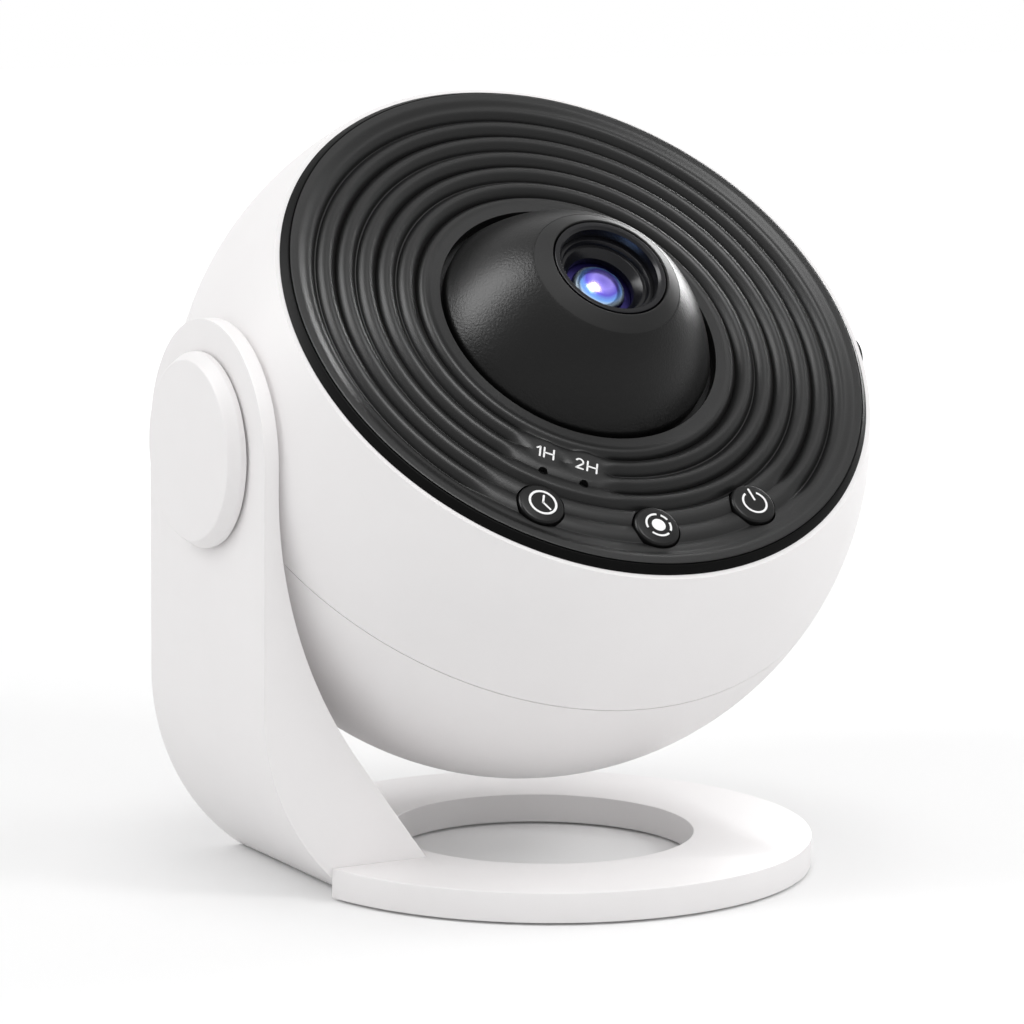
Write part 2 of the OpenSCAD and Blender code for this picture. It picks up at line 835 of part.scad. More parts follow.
module pivot_hub() {
    color(black) ball_frame() difference() {
        union() {
            hub_flange(0);
            pivot_rod(hub_boss_r, hub_out_x, hub_x + eps);
        }
        pivot_rod(shaft_r + thread_fit, hub_out_x - cut, hub_in_x + cut);
    }
}

module pivot_shaft() {
    color(steel) ball_frame() {
        pivot_rod(shaft_r + shaft_head_rim, hub_in_x, hub_in_x + shaft_head_t);
        pivot_rod(shaft_r, nut_x, hub_in_x + eps);
        pivot_rod(shaft_end_r, shaft_tip_x, nut_x + eps);
    }
}

module pivot_nut() {
    color(steel) ball_frame() translate([nut_x - nut_t, 0, 0]) rotate([0, 90, 0])
        difference() {
            cylinder(r = nut_r, h = nut_t, $fn = 6);
            translate([0, 0, -cut]) cylinder(r = shaft_end_r + thread_fit, h = nut_t + 2 * cut);
        }
}

module guide_screw_places() {
    for (x = guide_screw_xs, s = [-1, 1]) translate([x, s * (guide_out + guide_tab / 2), 0]) children();
}

// The two rails that carry the film tray, one on each side
module film_guides() {
    color(black) ball_frame() for (s = [0, 1]) mirror([0, s, 0]) difference() {
        union() {
            block([guide_x0, guide_in, chassis_top], [guide_x1, guide_out, guide_top]);
            block([guide_x0, guide_in - rail_w, tray_bottom - gap - rail_t],
                [guide_x1, guide_in + eps, tray_bottom - gap]);
            block([guide_x0, guide_in - rail_w, tray_top + gap],
                [guide_x1, guide_in + eps, tray_top + gap + rail_t]);
            for (x = guide_screw_xs)
                block([x - guide_tab_half, guide_out - eps, chassis_top],
                    [x + guide_tab_half, guide_out + guide_tab, chassis_top + guide_tab_t]);
        }
        for (x = guide_screw_xs) translate([x, guide_out + guide_tab / 2, 0])
            rod(guide_screw_r + fit, 0, chassis_top + guide_tab_t + cut);
        for (x = [-1, 1]) translate([x * (tube_plate_x - tube_screw_in), guide_out - guide_wall / 2, 0])
            rod(tube_screw_r + thread_fit, guide_top - tube_screw_len - cut, guide_top + cut);
    }
}

module guide_screws() {
    color(steel) ball_frame() guide_screw_places()
        screw(guide_screw_r, guide_head_r, guide_head_h, chassis_top + guide_tab_t, chassis_bottom);
}

module lens_tube() {
    color(black) ball_frame() difference() {
        union() {
            block([-tube_plate_x, -guide_out, guide_top], [tube_plate_x, guide_out, tube_plate_top]);
            rod(tube_r, guide_top, tube_top);
            rod(cone_hub_r + shoulder_rim, shoulder_top - shoulder_t, shoulder_top);
        }
        rod(tube_bore_r, guide_top - cut, tube_top + cut);
        // straight slots that keep the barrel from turning
        for (a = [0, 120, 240]) at(barrel_r, a)
            block([-cut, -pin_r - gap / 2, pin_z - channel_half], [2 * tube_wall + cut, pin_r + gap / 2,
                pin_z + channel_half]);
        tube_screw_places() rod(tube_screw_r + fit, guide_top - cut, tube_plate_top + cut);
    }
}

module tube_screw_places() {
    for (sx = [-1, 1], sy = [-1, 1])
        translate([sx * (tube_plate_x - tube_screw_in), sy * (guide_out - guide_wall / 2), 0]) children();
}

module tube_screws() {
    color(steel) ball_frame() tube_screw_places()
        screw(tube_screw_r, tube_head_r, tube_head_h, tube_plate_top, guide_top - tube_screw_len);
}

module condenser_holder() {
    color(black) ball_frame() difference() {
        rod(condenser_r + holder_wall, chassis_top, chassis_top + holder_h);
        rod(lamp_opening_r, chassis_top - cut, chassis_top + holder_h + cut);
        rod(condenser_r + fit, chassis_top + holder_floor, chassis_top + holder_h + cut);
    }
}

// A round lens from its edge radius, edge height and the rise of its two faces
module lens(r, edge_z, edge_t, rise_up, rise_down) {
    rotate_extrude() polygon(concat(
        [for (i = [0 : lens_steps]) let (s = i / lens_steps) [r * s, edge_z - rise_down * (1 - s * s)]],
        [for (i = [0 : lens_steps]) let (s = 1 - i / lens_steps)
            [r * s, edge_z + edge_t + rise_up * (1 - s * s)]]));
}

module condenser_lens() {
    color(glass_tint) ball_frame()
        lens(condenser_r, chassis_top + holder_floor, condenser_edge, condenser_crown, 0);
}

module light_board() {
    color(white) ball_frame() rod(lamp_board_r, sink_top, sink_top + lamp_board_t);
}

module light_source() {
    color(brass) ball_frame()
        translate([0, 0, sink_top + lamp_board_t]) tile(chip_w, chip_t);
}

module heat_sink() {
    fin_step = 2 * (sink_r - fin_inset) / (fin_count - 1);
    fin_z = sink_top - sink_plate_t - sink_depth;
    color(steel) ball_frame() {
        rod(sink_r, sink_top - sink_plate_t, sink_top);
        intersection() {
            rod(sink_r, fin_z, fin_z + sink_depth + eps);
            for (i = [0 : fin_count - 1]) translate([fin_inset - sink_r + i * fin_step, 0, fin_z])
                translate([-fin_t / 2, -sink_r, -cut]) cube([fin_t, 2 * sink_r, sink_depth + 2 * cut]);
        }
    }
}

module heat_sink_posts() {
    color(brass) ball_frame() for (a = [90, 210, 330]) at(sink_post_circle, a)
        rod(sink_post_r, sink_top, chassis_bottom);
}

module main_board() {
    color(board_green) ball_frame()
        block([-board_half, board_y0, board_top - board_t], [board_half, board_y1, board_top]);
}

module board_posts() {
    color(brass) ball_frame() for (x = board_post_xs, y = board_post_ys) translate([x, y, 0])
        rod(board_post_r, board_top, chassis_bottom);
}

module board_parts() {
    color(charcoal) ball_frame() {
        translate([controller_x, controller_y, board_top]) tile(controller_w, controller_h);
        translate([capacitor_x, capacitor_y, 0]) rod(capacitor_r, board_top, board_top + capacitor_h);
        translate([coil_x, coil_y, board_top]) tile(coil_w, coil_h);
    }
}

module power_socket() {
    color(steel) ball_frame() translate([0, socket_mouth, socket_z]) rotate([90, 0, 0]) {
        difference() {
            linear_extrude(socket_len) stadium(socket_w, socket_h);
            translate([0, 0, -cut]) linear_extrude(socket_len - socket_back + cut)
                stadium(socket_w - 2 * socket_wall, socket_h - 2 * socket_wall);
        }
        block([-contact_w / 2, -contact_t / 2, contact_in],
            [contact_w / 2, contact_t / 2, socket_len - socket_back / 2]);
    }
}

module key_post_places() {
    for (i = [0 : len(key_post_rs) - 1]) at(key_post_rs[i], key_post_angles[i]) children();
}

module key_board() {
    reach = 2 * key_out_r;
    color(board_green) ball_frame() difference() {
        intersection() {
            tube(key_out_r, key_in_r, key_top - key_t, key_top);
            translate([0, 0, key_top - key_t - cut]) linear_extrude(key_t + 2 * cut)
                polygon([[0, 0], for (a = [-key_half_a, 0, key_half_a])
                    reach * [cos(-90 + a), sin(-90 + a)]]);
        }
        key_post_places() rod(key_screw_r + fit, key_top - key_t - cut, key_top + cut);
    }
}

module key_board_screws() {
    color(steel) ball_frame() key_post_places() {
        rod(key_head_r, key_top - key_t - key_head_h, key_top - key_t);
        rod(key_screw_r, key_top - key_t - eps, flange_top - cut);
    }
}

module key_switches() {
    color(charcoal) ball_frame() for (a = button_angles) at(button_r, a) {
        translate([0, 0, key_top]) tile(switch_w, switch_h);
        rod(plunger_r, key_top + switch_h - eps, plunger_top);
    }
}

module timer_lights() {
    color(white) ball_frame() for (a = light_angles) at(light_r, a)
        translate([0, 0, key_top]) tile(light_chip_w, light_chip_h);
}

module light_pipes() {
    color(charcoal) ball_frame() for (a = light_angles) at(light_r, a) {
        rod(light_d / 2 - fit, key_top + light_chip_h, trough_z - pipe_drop);
        rod(light_d / 2 + pipe_rim, flange_top - pipe_rim_t, flange_top);
    }
}

// ---- focus cone and lens barrel ----

module focus_cone() {
    swell = [for (i = [0 : cone_steps]) let (s = i / cone_steps, b = 4 * cone_swell * s * (1 - s))
        [cone_r - cone_run * s + b * cone_rise / cone_side,
            cone_foot_z + cone_rise * s + b * cone_run / cone_side]];
    hub_bore = tube_r + run_fit;
    color(black) ball_frame() difference() {
        rotate_extrude() polygon(concat(
            [[cone_in_r, cone_bottom], [cone_flange_r, cone_bottom], [cone_flange_r, cone_flange_top],
                [cone_r, cone_flange_top]],
            swell,
            [[nose_r, nose_top], [nose_r, tube_top + gap], [hub_bore, tube_top + gap],
                [hub_bore, cone_bottom], [cone_hub_r, cone_bottom],
                [cone_hub_r, cone_in_z + (cone_in_r - cone_hub_r) * cone_slope],
                [cone_in_r, cone_in_z]]));
        // the channel that the drive pins run in
        tube(channel_r, hub_bore - fit, pin_z - channel_half, pin_z + channel_half);
    }
}

module lens_barrel() {
    color(black) ball_frame() difference() {
        rotate_extrude() polygon([[rear_bore_r, barrel_bottom], [barrel_r, barrel_bottom],
            [barrel_r, barrel_top], [mouth_r + mouth_bevel, barrel_top],
            [mouth_r, barrel_top - mouth_bevel], [mouth_r, retainer_z], [front_bore_r, retainer_z],
            [front_bore_r, front_seat_z], [stop_r, front_seat_z - stop_front_h],
            [stop_r, rear_seat_z + stop_rear_h], [rear_bore_r, rear_seat_z]]);
        for (a = [0, 120, 240]) at(pin_in_r, a) translate([0, 0, pin_z]) rotate([0, 90, 0])
            cylinder(r = pin_r + thread_fit, h = barrel_r, $fn = 32);
    }
}

module drive_pins() {
    color(steel) ball_frame() for (a = [0, 120, 240]) at(pin_in_r, a) translate([0, 0, pin_z])
        rotate([0, 90, 0]) cylinder(r = pin_r, h = pin_out_r - pin_in_r, $fn = 32);
}

module front_lens() {
    top = front_seat_z + front_edge_t;
    color(glass_tint) ball_frame() rotate_extrude() polygon(concat(
        [for (i = [0 : lens_steps]) let (s = i / lens_steps)
            [front_lens_r * s, front_seat_z - front_back_h * (1 - s * s)]],
        [[front_lens_r, top], [front_dome_r, top]],
        [for (i = [1 : dome_steps]) let (a = 90 * i / dome_steps)
            [front_dome_r * cos(a), top + front_dome_h * sin(a)]]));
}

module rear_lens() {
    color(glass_tint) ball_frame()
        lens(rear_lens_r, rear_seat_z - rear_edge_t, rear_edge_t, rear_rise_up, rear_rise_down);
}

// The stepped ring in the barrel's mouth that holds the front lens down
module lens_retainer() {
    top = retainer_z + retainer_h;
    outer_r = mouth_r - thread_fit;
    in_r = front_lens_r - retainer_grip;
    step_r = mouth_r - retainer_step;
    color(black) ball_frame() rotate_extrude()
        polygon([[in_r, retainer_z], [front_bore_r - fit, retainer_z - retainer_nose],
            [front_bore_r - fit, retainer_z], [outer_r, retainer_z], [outer_r, top],
            [step_r + retainer_chamfer, top], [step_r, top - retainer_step / 2],
            [step_r, top - retainer_step], [step_r - retainer_step / 2, top - retainer_step],
            [in_r, retainer_z + retainer_step]]);
}

// ---- film tray ----

module film_tray() {
    color(black) ball_frame() difference() {
        union() {
            intersection() {
                block([tray_tail, -tray_half, tray_bottom], [ball_r, tray_half, tray_top]);
                sphere(r = tray_sphere_r);
            }
            intersection() {
                ball_wall_zone(panel_bottom, panel_top);
                block([0, -panel_half, panel_bottom], [ball_r, panel_half, panel_top]);
            }
        }
        rod(film_r + fit, film_seat, tray_top + cut);
        rod(film_open_r, tray_bottom - cut, tray_top + cut);
        // a notch for the fingertip that lifts the film out
        translate([film_r, 0, 0]) rod(notch_r, film_seat, tray_top + cut);
        translate([0, 0, tray_h]) {
            pivot_rod(knob_screw_r + thread_fit, knob_seat_x - knob_screw_len - cut, ball_r);
            pivot_rod(knob_neck_r + thread_fit, knob_seat_x, ball_r + cut);
        }
    }
}

module film_disc() {
    color(glass_tint) ball_frame() rod(film_r - film_rim, film_seat, film_seat + film_t);
}

module film_frame() {
    color(charcoal) ball_frame() difference() {
        rod(film_r, film_seat, film_seat + frame_h);
        rod(film_r - film_rim + thread_fit, film_seat - cut, film_seat + film_t);
        rod(film_open_r, film_seat - cut, tray_top + cut);
    }
}

module tray_knob() {
    color(black) ball_frame() translate([0, 0, tray_h]) difference() {
        rotate([0, 90, 0]) rotate_extrude()
            polygon([[0, knob_seat_x], [knob_neck_r, knob_seat_x], [knob_neck_r, knob_x0],
                [knob_rad, knob_x0], [knob_rad, knob_x1 - knob_edge],
                [knob_rad - knob_edge * 0.3, knob_x1 - knob_edge * 0.3],
                [knob_rad - knob_edge, knob_x1], [0, knob_x1]]);
        pivot_rod(knob_screw_r + thread_fit, knob_seat_x - cut, knob_x1 - cut);
    }
}

module knob_screw() {
    color(steel) ball_frame() translate([0, 0, tray_h])
        pivot_rod(knob_screw_r, knob_seat_x - knob_screw_len, knob_x1 - cut - 2 * fit);
}

// ---- push buttons ----

module button(a) {
    foot = flange_top - gap;
    color(black) ball_frame() at(button_r, a) rotate_extrude()
        polygon([[0, foot - button_flange_t], [button_flange_r, foot - button_flange_t],
            [button_flange_r, foot], [button_rad, foot], [button_rad, button_top - button_edge],
            [button_rad - button_edge * 0.3, button_top - button_edge * 0.3],
            [button_rad - button_edge, button_top], [0, button_top + button_dome]]);
}

module timer_button() {
    button(button_angles[0]);
}

module light_button() {
    button(button_angles[1]);
}

module power_button() {
    button(button_angles[2]);
}

base_ring();
arm();
arm_screws();
foot_pads();
pivot_bush();
friction_washer();
wave_washer();
pivot_cap();
lower_shell();
upper_shell();
bezel_ring();
face_plate();
shell_screws();
chassis();
pivot_hub();
pivot_shaft();
pivot_nut();
film_guides();
guide_screws();
lens_tube();
tube_screws();
condenser_holder();
condenser_lens();
light_board();
light_source();
heat_sink();
heat_sink_posts();
main_board();
board_posts();
board_parts();
power_socket();
key_board();
key_board_screws();
key_switches();
timer_lights();
light_pipes();
focus_cone();
lens_barrel();
front_lens();
rear_lens();
lens_retainer();
drive_pins();
film_tray();
film_disc();
film_frame();
tray_knob();
knob_screw();
timer_button();
light_button();
power_button();
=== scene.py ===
"""Desk planetarium projector, dressed for a studio picture.

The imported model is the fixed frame. The stand's white mouldings, the rippled face,
the focus cone, the lens stack, the buttons and their print are modelled here, and
the inner pieces keep their solids and get their own finishes. Sizes are in
millimetres, in the ball's own frame (centre of the ball, Z along the lens axis)
unless a class says otherwise.
"""
import json
import logging
import math
from dataclasses import dataclass, field
from enum import Enum

import bmesh
import bpy
from mathutils import Matrix, Vector

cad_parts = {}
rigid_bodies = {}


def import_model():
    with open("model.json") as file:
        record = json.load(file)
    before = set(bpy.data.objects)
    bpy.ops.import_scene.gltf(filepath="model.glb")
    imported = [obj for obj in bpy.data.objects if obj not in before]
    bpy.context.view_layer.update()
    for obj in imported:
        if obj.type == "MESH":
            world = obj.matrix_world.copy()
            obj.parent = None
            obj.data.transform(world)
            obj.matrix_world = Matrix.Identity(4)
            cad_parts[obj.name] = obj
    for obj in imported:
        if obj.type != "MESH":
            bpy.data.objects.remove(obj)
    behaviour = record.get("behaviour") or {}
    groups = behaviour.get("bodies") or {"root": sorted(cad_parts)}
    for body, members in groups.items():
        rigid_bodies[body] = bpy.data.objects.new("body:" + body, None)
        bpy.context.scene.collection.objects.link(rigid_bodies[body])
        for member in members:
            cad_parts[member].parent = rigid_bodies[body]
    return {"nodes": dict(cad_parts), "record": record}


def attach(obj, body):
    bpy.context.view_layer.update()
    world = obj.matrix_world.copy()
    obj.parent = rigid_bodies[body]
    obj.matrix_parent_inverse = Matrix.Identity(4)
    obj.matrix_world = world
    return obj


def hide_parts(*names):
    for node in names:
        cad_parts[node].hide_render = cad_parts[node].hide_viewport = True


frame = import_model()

log = logging.getLogger("projector")
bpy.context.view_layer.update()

MM = 0.001
MERGE_REACH = 1e-7  # metres; points of a new piece closer than this are one
COPY_MERGE_REACH = 1e-6  # metres; the same for a copied solid's loose triangles
LEVEL_SLACK = 1e-6  # metres; an edge that rises less than this is level
SMOOTH_DEG = 30.0  # edges sharper than this stay sharp in the shading
FULL_TURN = 360.0
MIX_COLOURS = (6, 7)  # the Mix node's two colour inputs
MIX_RESULT = 2  # and its colour output
Point = tuple[float, float]


def joint(name: str) -> dict:
    """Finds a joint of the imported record.

    Args:
        name: the joint's name.

    Returns:
        The joint's entry in the record.
    """
    return next(j for j in frame["record"]["behaviour"]["joints"] if j["name"] == name)


PIVOT = Vector(joint("head_tilt")["pos_m"])
LENS_AXIS = Vector(joint("focus_turn")["axis"]).normalized()
TILT = math.atan2(-LENS_AXIS.y, LENS_AXIS.z)
BALL = Matrix.Translation(PIVOT) @ Matrix.Rotation(TILT, 4, "X")
PIVOT_AXIS = Matrix.Translation(PIVOT) @ Matrix.Rotation(math.radians(-90), 4, "Y")


class Body(Enum):
    """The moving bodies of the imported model."""

    STAND = "stand"
    HEAD = "head"
    FOCUS = "focus"
    BARREL = "barrel"
    TRAY = "tray"
    TIMER = "timer_key"
    LIGHT = "light_key"
    POWER = "power_key"


# ---- modelling helpers ----


def ease(share: float) -> float:
    """Eases a share from 0 to 1, level at both ends."""
    held = max(0.0, min(1.0, share))
    return held * held * (3 - 2 * held)


def polar(radius: float, angle: float, height: float = 0.0) -> Vector:
    """Gives a point by its radius, its direction in degrees and its height."""
    turn = math.radians(angle)
    return Vector((radius * math.cos(turn), radius * math.sin(turn), height))


def deselect_everything() -> None:
    """Clears the selection, so that an operator acts on the new piece alone."""
    if bpy.context.object and bpy.context.object.mode != "OBJECT":
        bpy.ops.object.mode_set(mode="OBJECT")
    for item in list(bpy.context.view_layer.objects.selected):
        item.select_set(False)


def take(piece: bpy.types.Object) -> None:
    """Makes one piece the active and only selected one.

    Args:
        piece: the piece to work on.
    """
    deselect_everything()
    bpy.context.view_layer.objects.active = piece
    piece.select_set(True)


def edit(piece: bpy.types.Object) -> bmesh.types.BMesh:
    """Opens a piece in edit mode with nothing selected.

    Args:
        piece: the piece to shape.

    Returns:
        The edit mesh, for choosing faces and edges by their place.
    """
    take(piece)
    bpy.ops.object.mode_set(mode="EDIT")
    bpy.ops.mesh.select_all(action="DESELECT")
    return bmesh.from_edit_mesh(piece.data)


def close_edit(piece: bpy.types.Object, smooth_deg: float = SMOOTH_DEG) -> None:
    """Merges doubles, turns the faces outwards and leaves edit mode.

    Args:
        piece: the piece being shaped.
        smooth_deg: edges sharper than this stay sharp in the shading.
    """
    bpy.ops.mesh.select_all(action="SELECT")
    bpy.ops.mesh.remove_doubles(threshold=MERGE_REACH)
    bpy.ops.mesh.normals_make_consistent(inside=False)
    bpy.ops.object.mode_set(mode="OBJECT")
    bpy.ops.object.shade_smooth_by_angle(angle=math.radians(smooth_deg))


def settle(piece: bpy.types.Object, place: Matrix) -> None:
    """Moves a piece to its place and bakes the place into its mesh.

    Args:
        piece: the finished piece.
        place: its place in the row frame.
    """
    take(piece)
    piece.matrix_world = place @ piece.matrix_world
    bpy.ops.object.transform_apply(location=True, rotation=True, scale=True)


def apply_modifiers(piece: bpy.types.Object) -> None:
    """Applies every modifier of a piece, in order.

    Args:
        piece: the piece to finish.
    """
    take(piece)
    for modifier in list(piece.modifiers):
        bpy.ops.object.modifier_apply(modifier=modifier.name)


def rounded(corners: list[tuple], arc_steps: int = 5) -> list[Point]:
    """Rounds the corners of an outline with true arcs.

    Args:
        corners: (x, y) or (x, y, radius) points, in millimetres.
        arc_steps: straight steps along one arc.

    Returns:
        The outline's points.
    """
    points: list[Point] = []
    for i, corner in enumerate(corners):
        here = Vector(corner[:2])
        radius = corner[2] if len(corner) > 2 else 0.0
        if radius <= 0 or i in (0, len(corners) - 1):
            points.append((here.x, here.y))
            continue
        before = (Vector(corners[i - 1][:2]) - here).normalized()
        after = (Vector(corners[i + 1][:2]) - here).normalized()
        half = before.angle(after) / 2
        reach = radius / math.tan(half)
        centre = here + (before + after).normalized() * (radius / math.sin(half))
        start = here + before * reach - centre
        sweep = math.pi - 2 * half
        side = 1.0 if before.x * after.y - before.y * after.x < 0 else -1.0
        for k in range(arc_steps + 1):
            turn = side * sweep * k / arc_steps
            points.append((centre.x + start.x * math.cos(turn) - start.y * math.sin(turn),
                           centre.y + start.x * math.sin(turn) + start.y * math.cos(turn)))
    return points


def lathe(name: str, outline: list[Point], place: Matrix | None = None, steps: int = 128,
          smooth_deg: float = SMOOTH_DEG, sweep_deg: float = FULL_TURN) -> bpy.types.Object:
    """Turns an outline about its Z axis, as on a lathe.

    Args:
        name: the piece's name.
        outline: (radius, height) points in millimetres. It starts and ends on the
            axis, or it is a closed loop with the last point equal to the first.
        place: where the outline's axis stands; without one the piece stays at the origin.
        steps: faces round the piece.
        smooth_deg: edges sharper than this stay sharp in the shading.
        sweep_deg: how far the outline is turned; short of a full turn the two ends are closed.

    Returns:
        The finished piece.
    """
    deselect_everything()
    bpy.ops.mesh.primitive_plane_add(size=MM)
    piece = bpy.context.object
    piece.name = name
    mesh = edit(piece)
    for vertex in list(mesh.verts)[1:]:
        vertex.select_set(True)
    mesh.select_flush(True)
    bmesh.update_edit_mesh(piece.data)
    bpy.ops.mesh.delete(type="VERT")
    mesh = bmesh.from_edit_mesh(piece.data)
    mesh.verts.ensure_lookup_table()
    first = mesh.verts[0]
    first.co = (outline[0][0] * MM, 0.0, outline[0][1] * MM)
    first.select_set(True)
    bmesh.update_edit_mesh(piece.data)
    for (r0, z0), (r1, z1) in zip(outline, outline[1:]):
        bpy.ops.mesh.extrude_region_move(
            TRANSFORM_OT_translate={"value": ((r1 - r0) * MM, 0.0, (z1 - z0) * MM)})
    bpy.ops.mesh.select_all(action="SELECT")
    bpy.ops.mesh.remove_doubles(threshold=MERGE_REACH)
    bpy.ops.object.mode_set(mode="OBJECT")
    turn = piece.modifiers.new("turn", "SCREW")
    turn.axis = "Z"
    turn.angle = math.radians(sweep_deg)
    turn.steps = turn.render_steps = steps
    turn.use_merge_vertices = sweep_deg >= FULL_TURN
    turn.merge_threshold = MERGE_REACH
    bpy.ops.object.modifier_apply(modifier=turn.name)
    edit(piece)
    if sweep_deg < FULL_TURN:
        bpy.ops.mesh.select_all(action="DESELECT")
        bpy.ops.mesh.select_non_manifold()
        bpy.ops.mesh.edge_face_add()
        bpy.ops.mesh.select_all(action="DESELECT")
    close_edit(piece, smooth_deg)
    if place is not None:
        settle(piece, place)
    return piece


def cut_away(piece: bpy.types.Object, cutters: list[bpy.types.Object]) -> None:
    """Cuts shapes out of a piece and removes them.

    Args:
        piece: the piece to cut.
        cutters: closed shapes, which are used up.
    """
    for cutter in cutters:
        take(piece)
        saw = piece.modifiers.new("saw", "BOOLEAN")
        saw.operation = "DIFFERENCE"
        saw.solver = "MANIFOLD"
        saw.object = cutter
        bpy.ops.object.modifier_apply(modifier=saw.name)
        bpy.data.objects.remove(cutter, do_unlink=True)


def soften_edges(piece: bpy.types.Object, width_mm: float, angle_deg: float = 35.0,
                 segments: int = 3) -> None:
    """Rounds a piece's sharp edges.

    Args:
        piece: the piece to finish.
        width_mm: the rounding's width.
        angle_deg: only edges sharper than this are rounded.
        segments: steps across the rounding.
    """
    bevel = piece.modifiers.new("edge", "BEVEL")
    bevel.width = width_mm * MM
    bevel.segments = segments
    bevel.limit_method = "ANGLE"
    bevel.angle_limit = math.radians(angle_deg)
    bevel.miter_outer = "MITER_ARC"
    apply_modifiers(piece)
    bpy.ops.object.shade_smooth_by_angle(angle=math.radians(SMOOTH_DEG))


def merged_copy(node: str, name: str, flat_deg: float = 0.5) -> bpy.types.Object:
    """Copies a solid's mesh and merges its loose triangles into flat faces.

    Args:
        node: the node to copy.
        name: the copy's name.
        flat_deg: faces that meet at less than this are joined.

    Returns:
        The copy, ready to be finished.
    """
    source = frame["nodes"][node]
    deselect_everything()
    piece = source.copy()
    piece.data = source.data.copy()
    piece.name = name
    piece.parent = None
    bpy.context.scene.collection.objects.link(piece)
    take(piece)
    bpy.ops.mesh.customdata_custom_splitnormals_clear()
    edit(piece)
    bpy.ops.mesh.select_all(action="SELECT")
    bpy.ops.mesh.remove_doubles(threshold=COPY_MERGE_REACH)
    bpy.ops.mesh.dissolve_limited(angle_limit=math.radians(flat_deg))
    bpy.ops.object.mode_set(mode="OBJECT")
    return piece


def ring_stroke(radius: float, stroke: float, low: float, high: float, start: float = 0.0,
                sweep: float = FULL_TURN, facet_deg: float = 5.0) -> bpy.types.Object:
    """Makes a ring, a dot or an arc of a printed sign, round the origin.

    Args:
        radius: the middle of the stroke.
        stroke: the stroke's width.
        low: height of its underside.
        high: height of its face.
        start: where the arc starts, in degrees.
        sweep: how far it runs anticlockwise.
        facet_deg: how far one straight step of it turns.

    Returns:
        The stroke.
    """
    inner, outer = max(0.0, radius - stroke / 2), radius + stroke / 2
    outline = [(inner, low), (outer, low), (outer, high), (inner, high)]
    if inner > 0:
        outline.append(outline[0])
    arc = lathe("stroke", outline, steps=max(8, round(sweep / facet_deg)), sweep_deg=sweep)
    settle(arc, Matrix.Rotation(math.radians(start), 4, "Z"))
    return arc


def bar_stroke(start: Point, end: Point, stroke: float, low: float, high: float,
               end_round: float = 0.49) -> bpy.types.Object:
    """Makes a straight stroke with round ends.

    Args:
        start: where the stroke starts.
        end: where it ends.
        stroke: the stroke's width.
        low: height of its underside.
        high: height of its face.
        end_round: radius of the ends' corners, as a share of the stroke's width.

    Returns:
        The stroke.
    """
    run = Vector((end[0] - start[0], end[1] - start[1], 0.0))
    deselect_everything()
    bpy.ops.mesh.primitive_cube_add(size=MM, scale=(run.length + stroke, stroke, high - low),
                                    location=Vector((run.length / 2, 0, (low + high) / 2)) * MM)
    piece = bpy.context.object
    bpy.ops.object.transform_apply(location=True, rotation=True, scale=True)
    mesh = edit(piece)
    for edge in mesh.edges:
        if abs(edge.verts[0].co.z - edge.verts[1].co.z) > LEVEL_SLACK:
            edge.select_set(True)
    bmesh.update_edit_mesh(piece.data)
    bpy.ops.mesh.bevel(offset=stroke * end_round * MM, segments=5, affect="EDGES")
    close_edit(piece, smooth_deg=40)
    settle(piece, Matrix.Translation(Vector((start[0], start[1], 0)) * MM)
           @ Matrix.Rotation(math.atan2(run.y, run.x), 4, "Z"))
    return piece


def join_strokes(name: str, strokes: list[bpy.types.Object], place: Matrix) -> bpy.types.Object:
    """Joins the strokes of a sign into one piece and puts it in its place.

    Args:
        name: the sign's name.
        strokes: its strokes.
        place: the sign's own frame.

    Returns:
        The sign.
    """
    take(strokes[0])
    for stroke in strokes[1:]:
        stroke.select_set(True)
    bpy.ops.object.join()
    strokes[0].name = name
    settle(strokes[0], place)
    return strokes[0]


def mount(piece: bpy.types.Object, body: Body, slot: str, finish: "Finish", *nodes: str) -> None:
    """Dresses a piece and fixes it to its body.

    Args:
        piece: the finished piece.
        body: the body it rides on.
        slot: the record's material slot; not used.
        finish: its surface.
        *nodes: the nodes that it stands for.
    """
    piece.data.materials.clear()
    piece.data.materials.append(finish.material())
    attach(piece, body.value)
    if nodes:
        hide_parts(*nodes)
    log.info("piece %s on %s, %d faces", piece.name, body.value, len(piece.data.polygons))


# ---- finishes ----


def linear(hex_colour: str) -> tuple[float, float, float, float]:
    """Turns an sRGB hex colour to linear values.

    Args:
        hex_colour: such as "#f3f1f1".

    Returns:
        Linear red, green, blue and a full alpha.
    """
    values = [int(hex_colour[i:i + 2], 16) / 255 for i in (1, 3, 5)]
    light = [v / 12.92 if v <= 0.04045 else ((v + 0.055) / 1.055) ** 2.4 for v in values]
    return (light[0], light[1], light[2], 1.0)


def add_node(tree: bpy.types.NodeTree, kind: str, links: dict | None = None,
             **settings: object) -> bpy.types.Node:
    """Adds a node with its settings and links.

    Args:
        tree: the material's node tree.
        kind: the node's type name.
        links: input name or number to a source socket or a plain value.
        **settings: the node's own properties.

    Returns:
        The new node.
    """
    node = tree.nodes.new(kind)
    for key, value in settings.items():
        setattr(node, key, value)
    for socket, source in (links or {}).items():
        if isinstance(source, bpy.types.NodeSocket):
            tree.links.new(source, node.inputs[socket])
        else:
            node.inputs[socket].default_value = source
    return node


def scale_for(size_mm: float) -> float:
    """Gives a texture's scale for a pattern of this size in millimetres."""
    return 1 / (size_mm * MM)


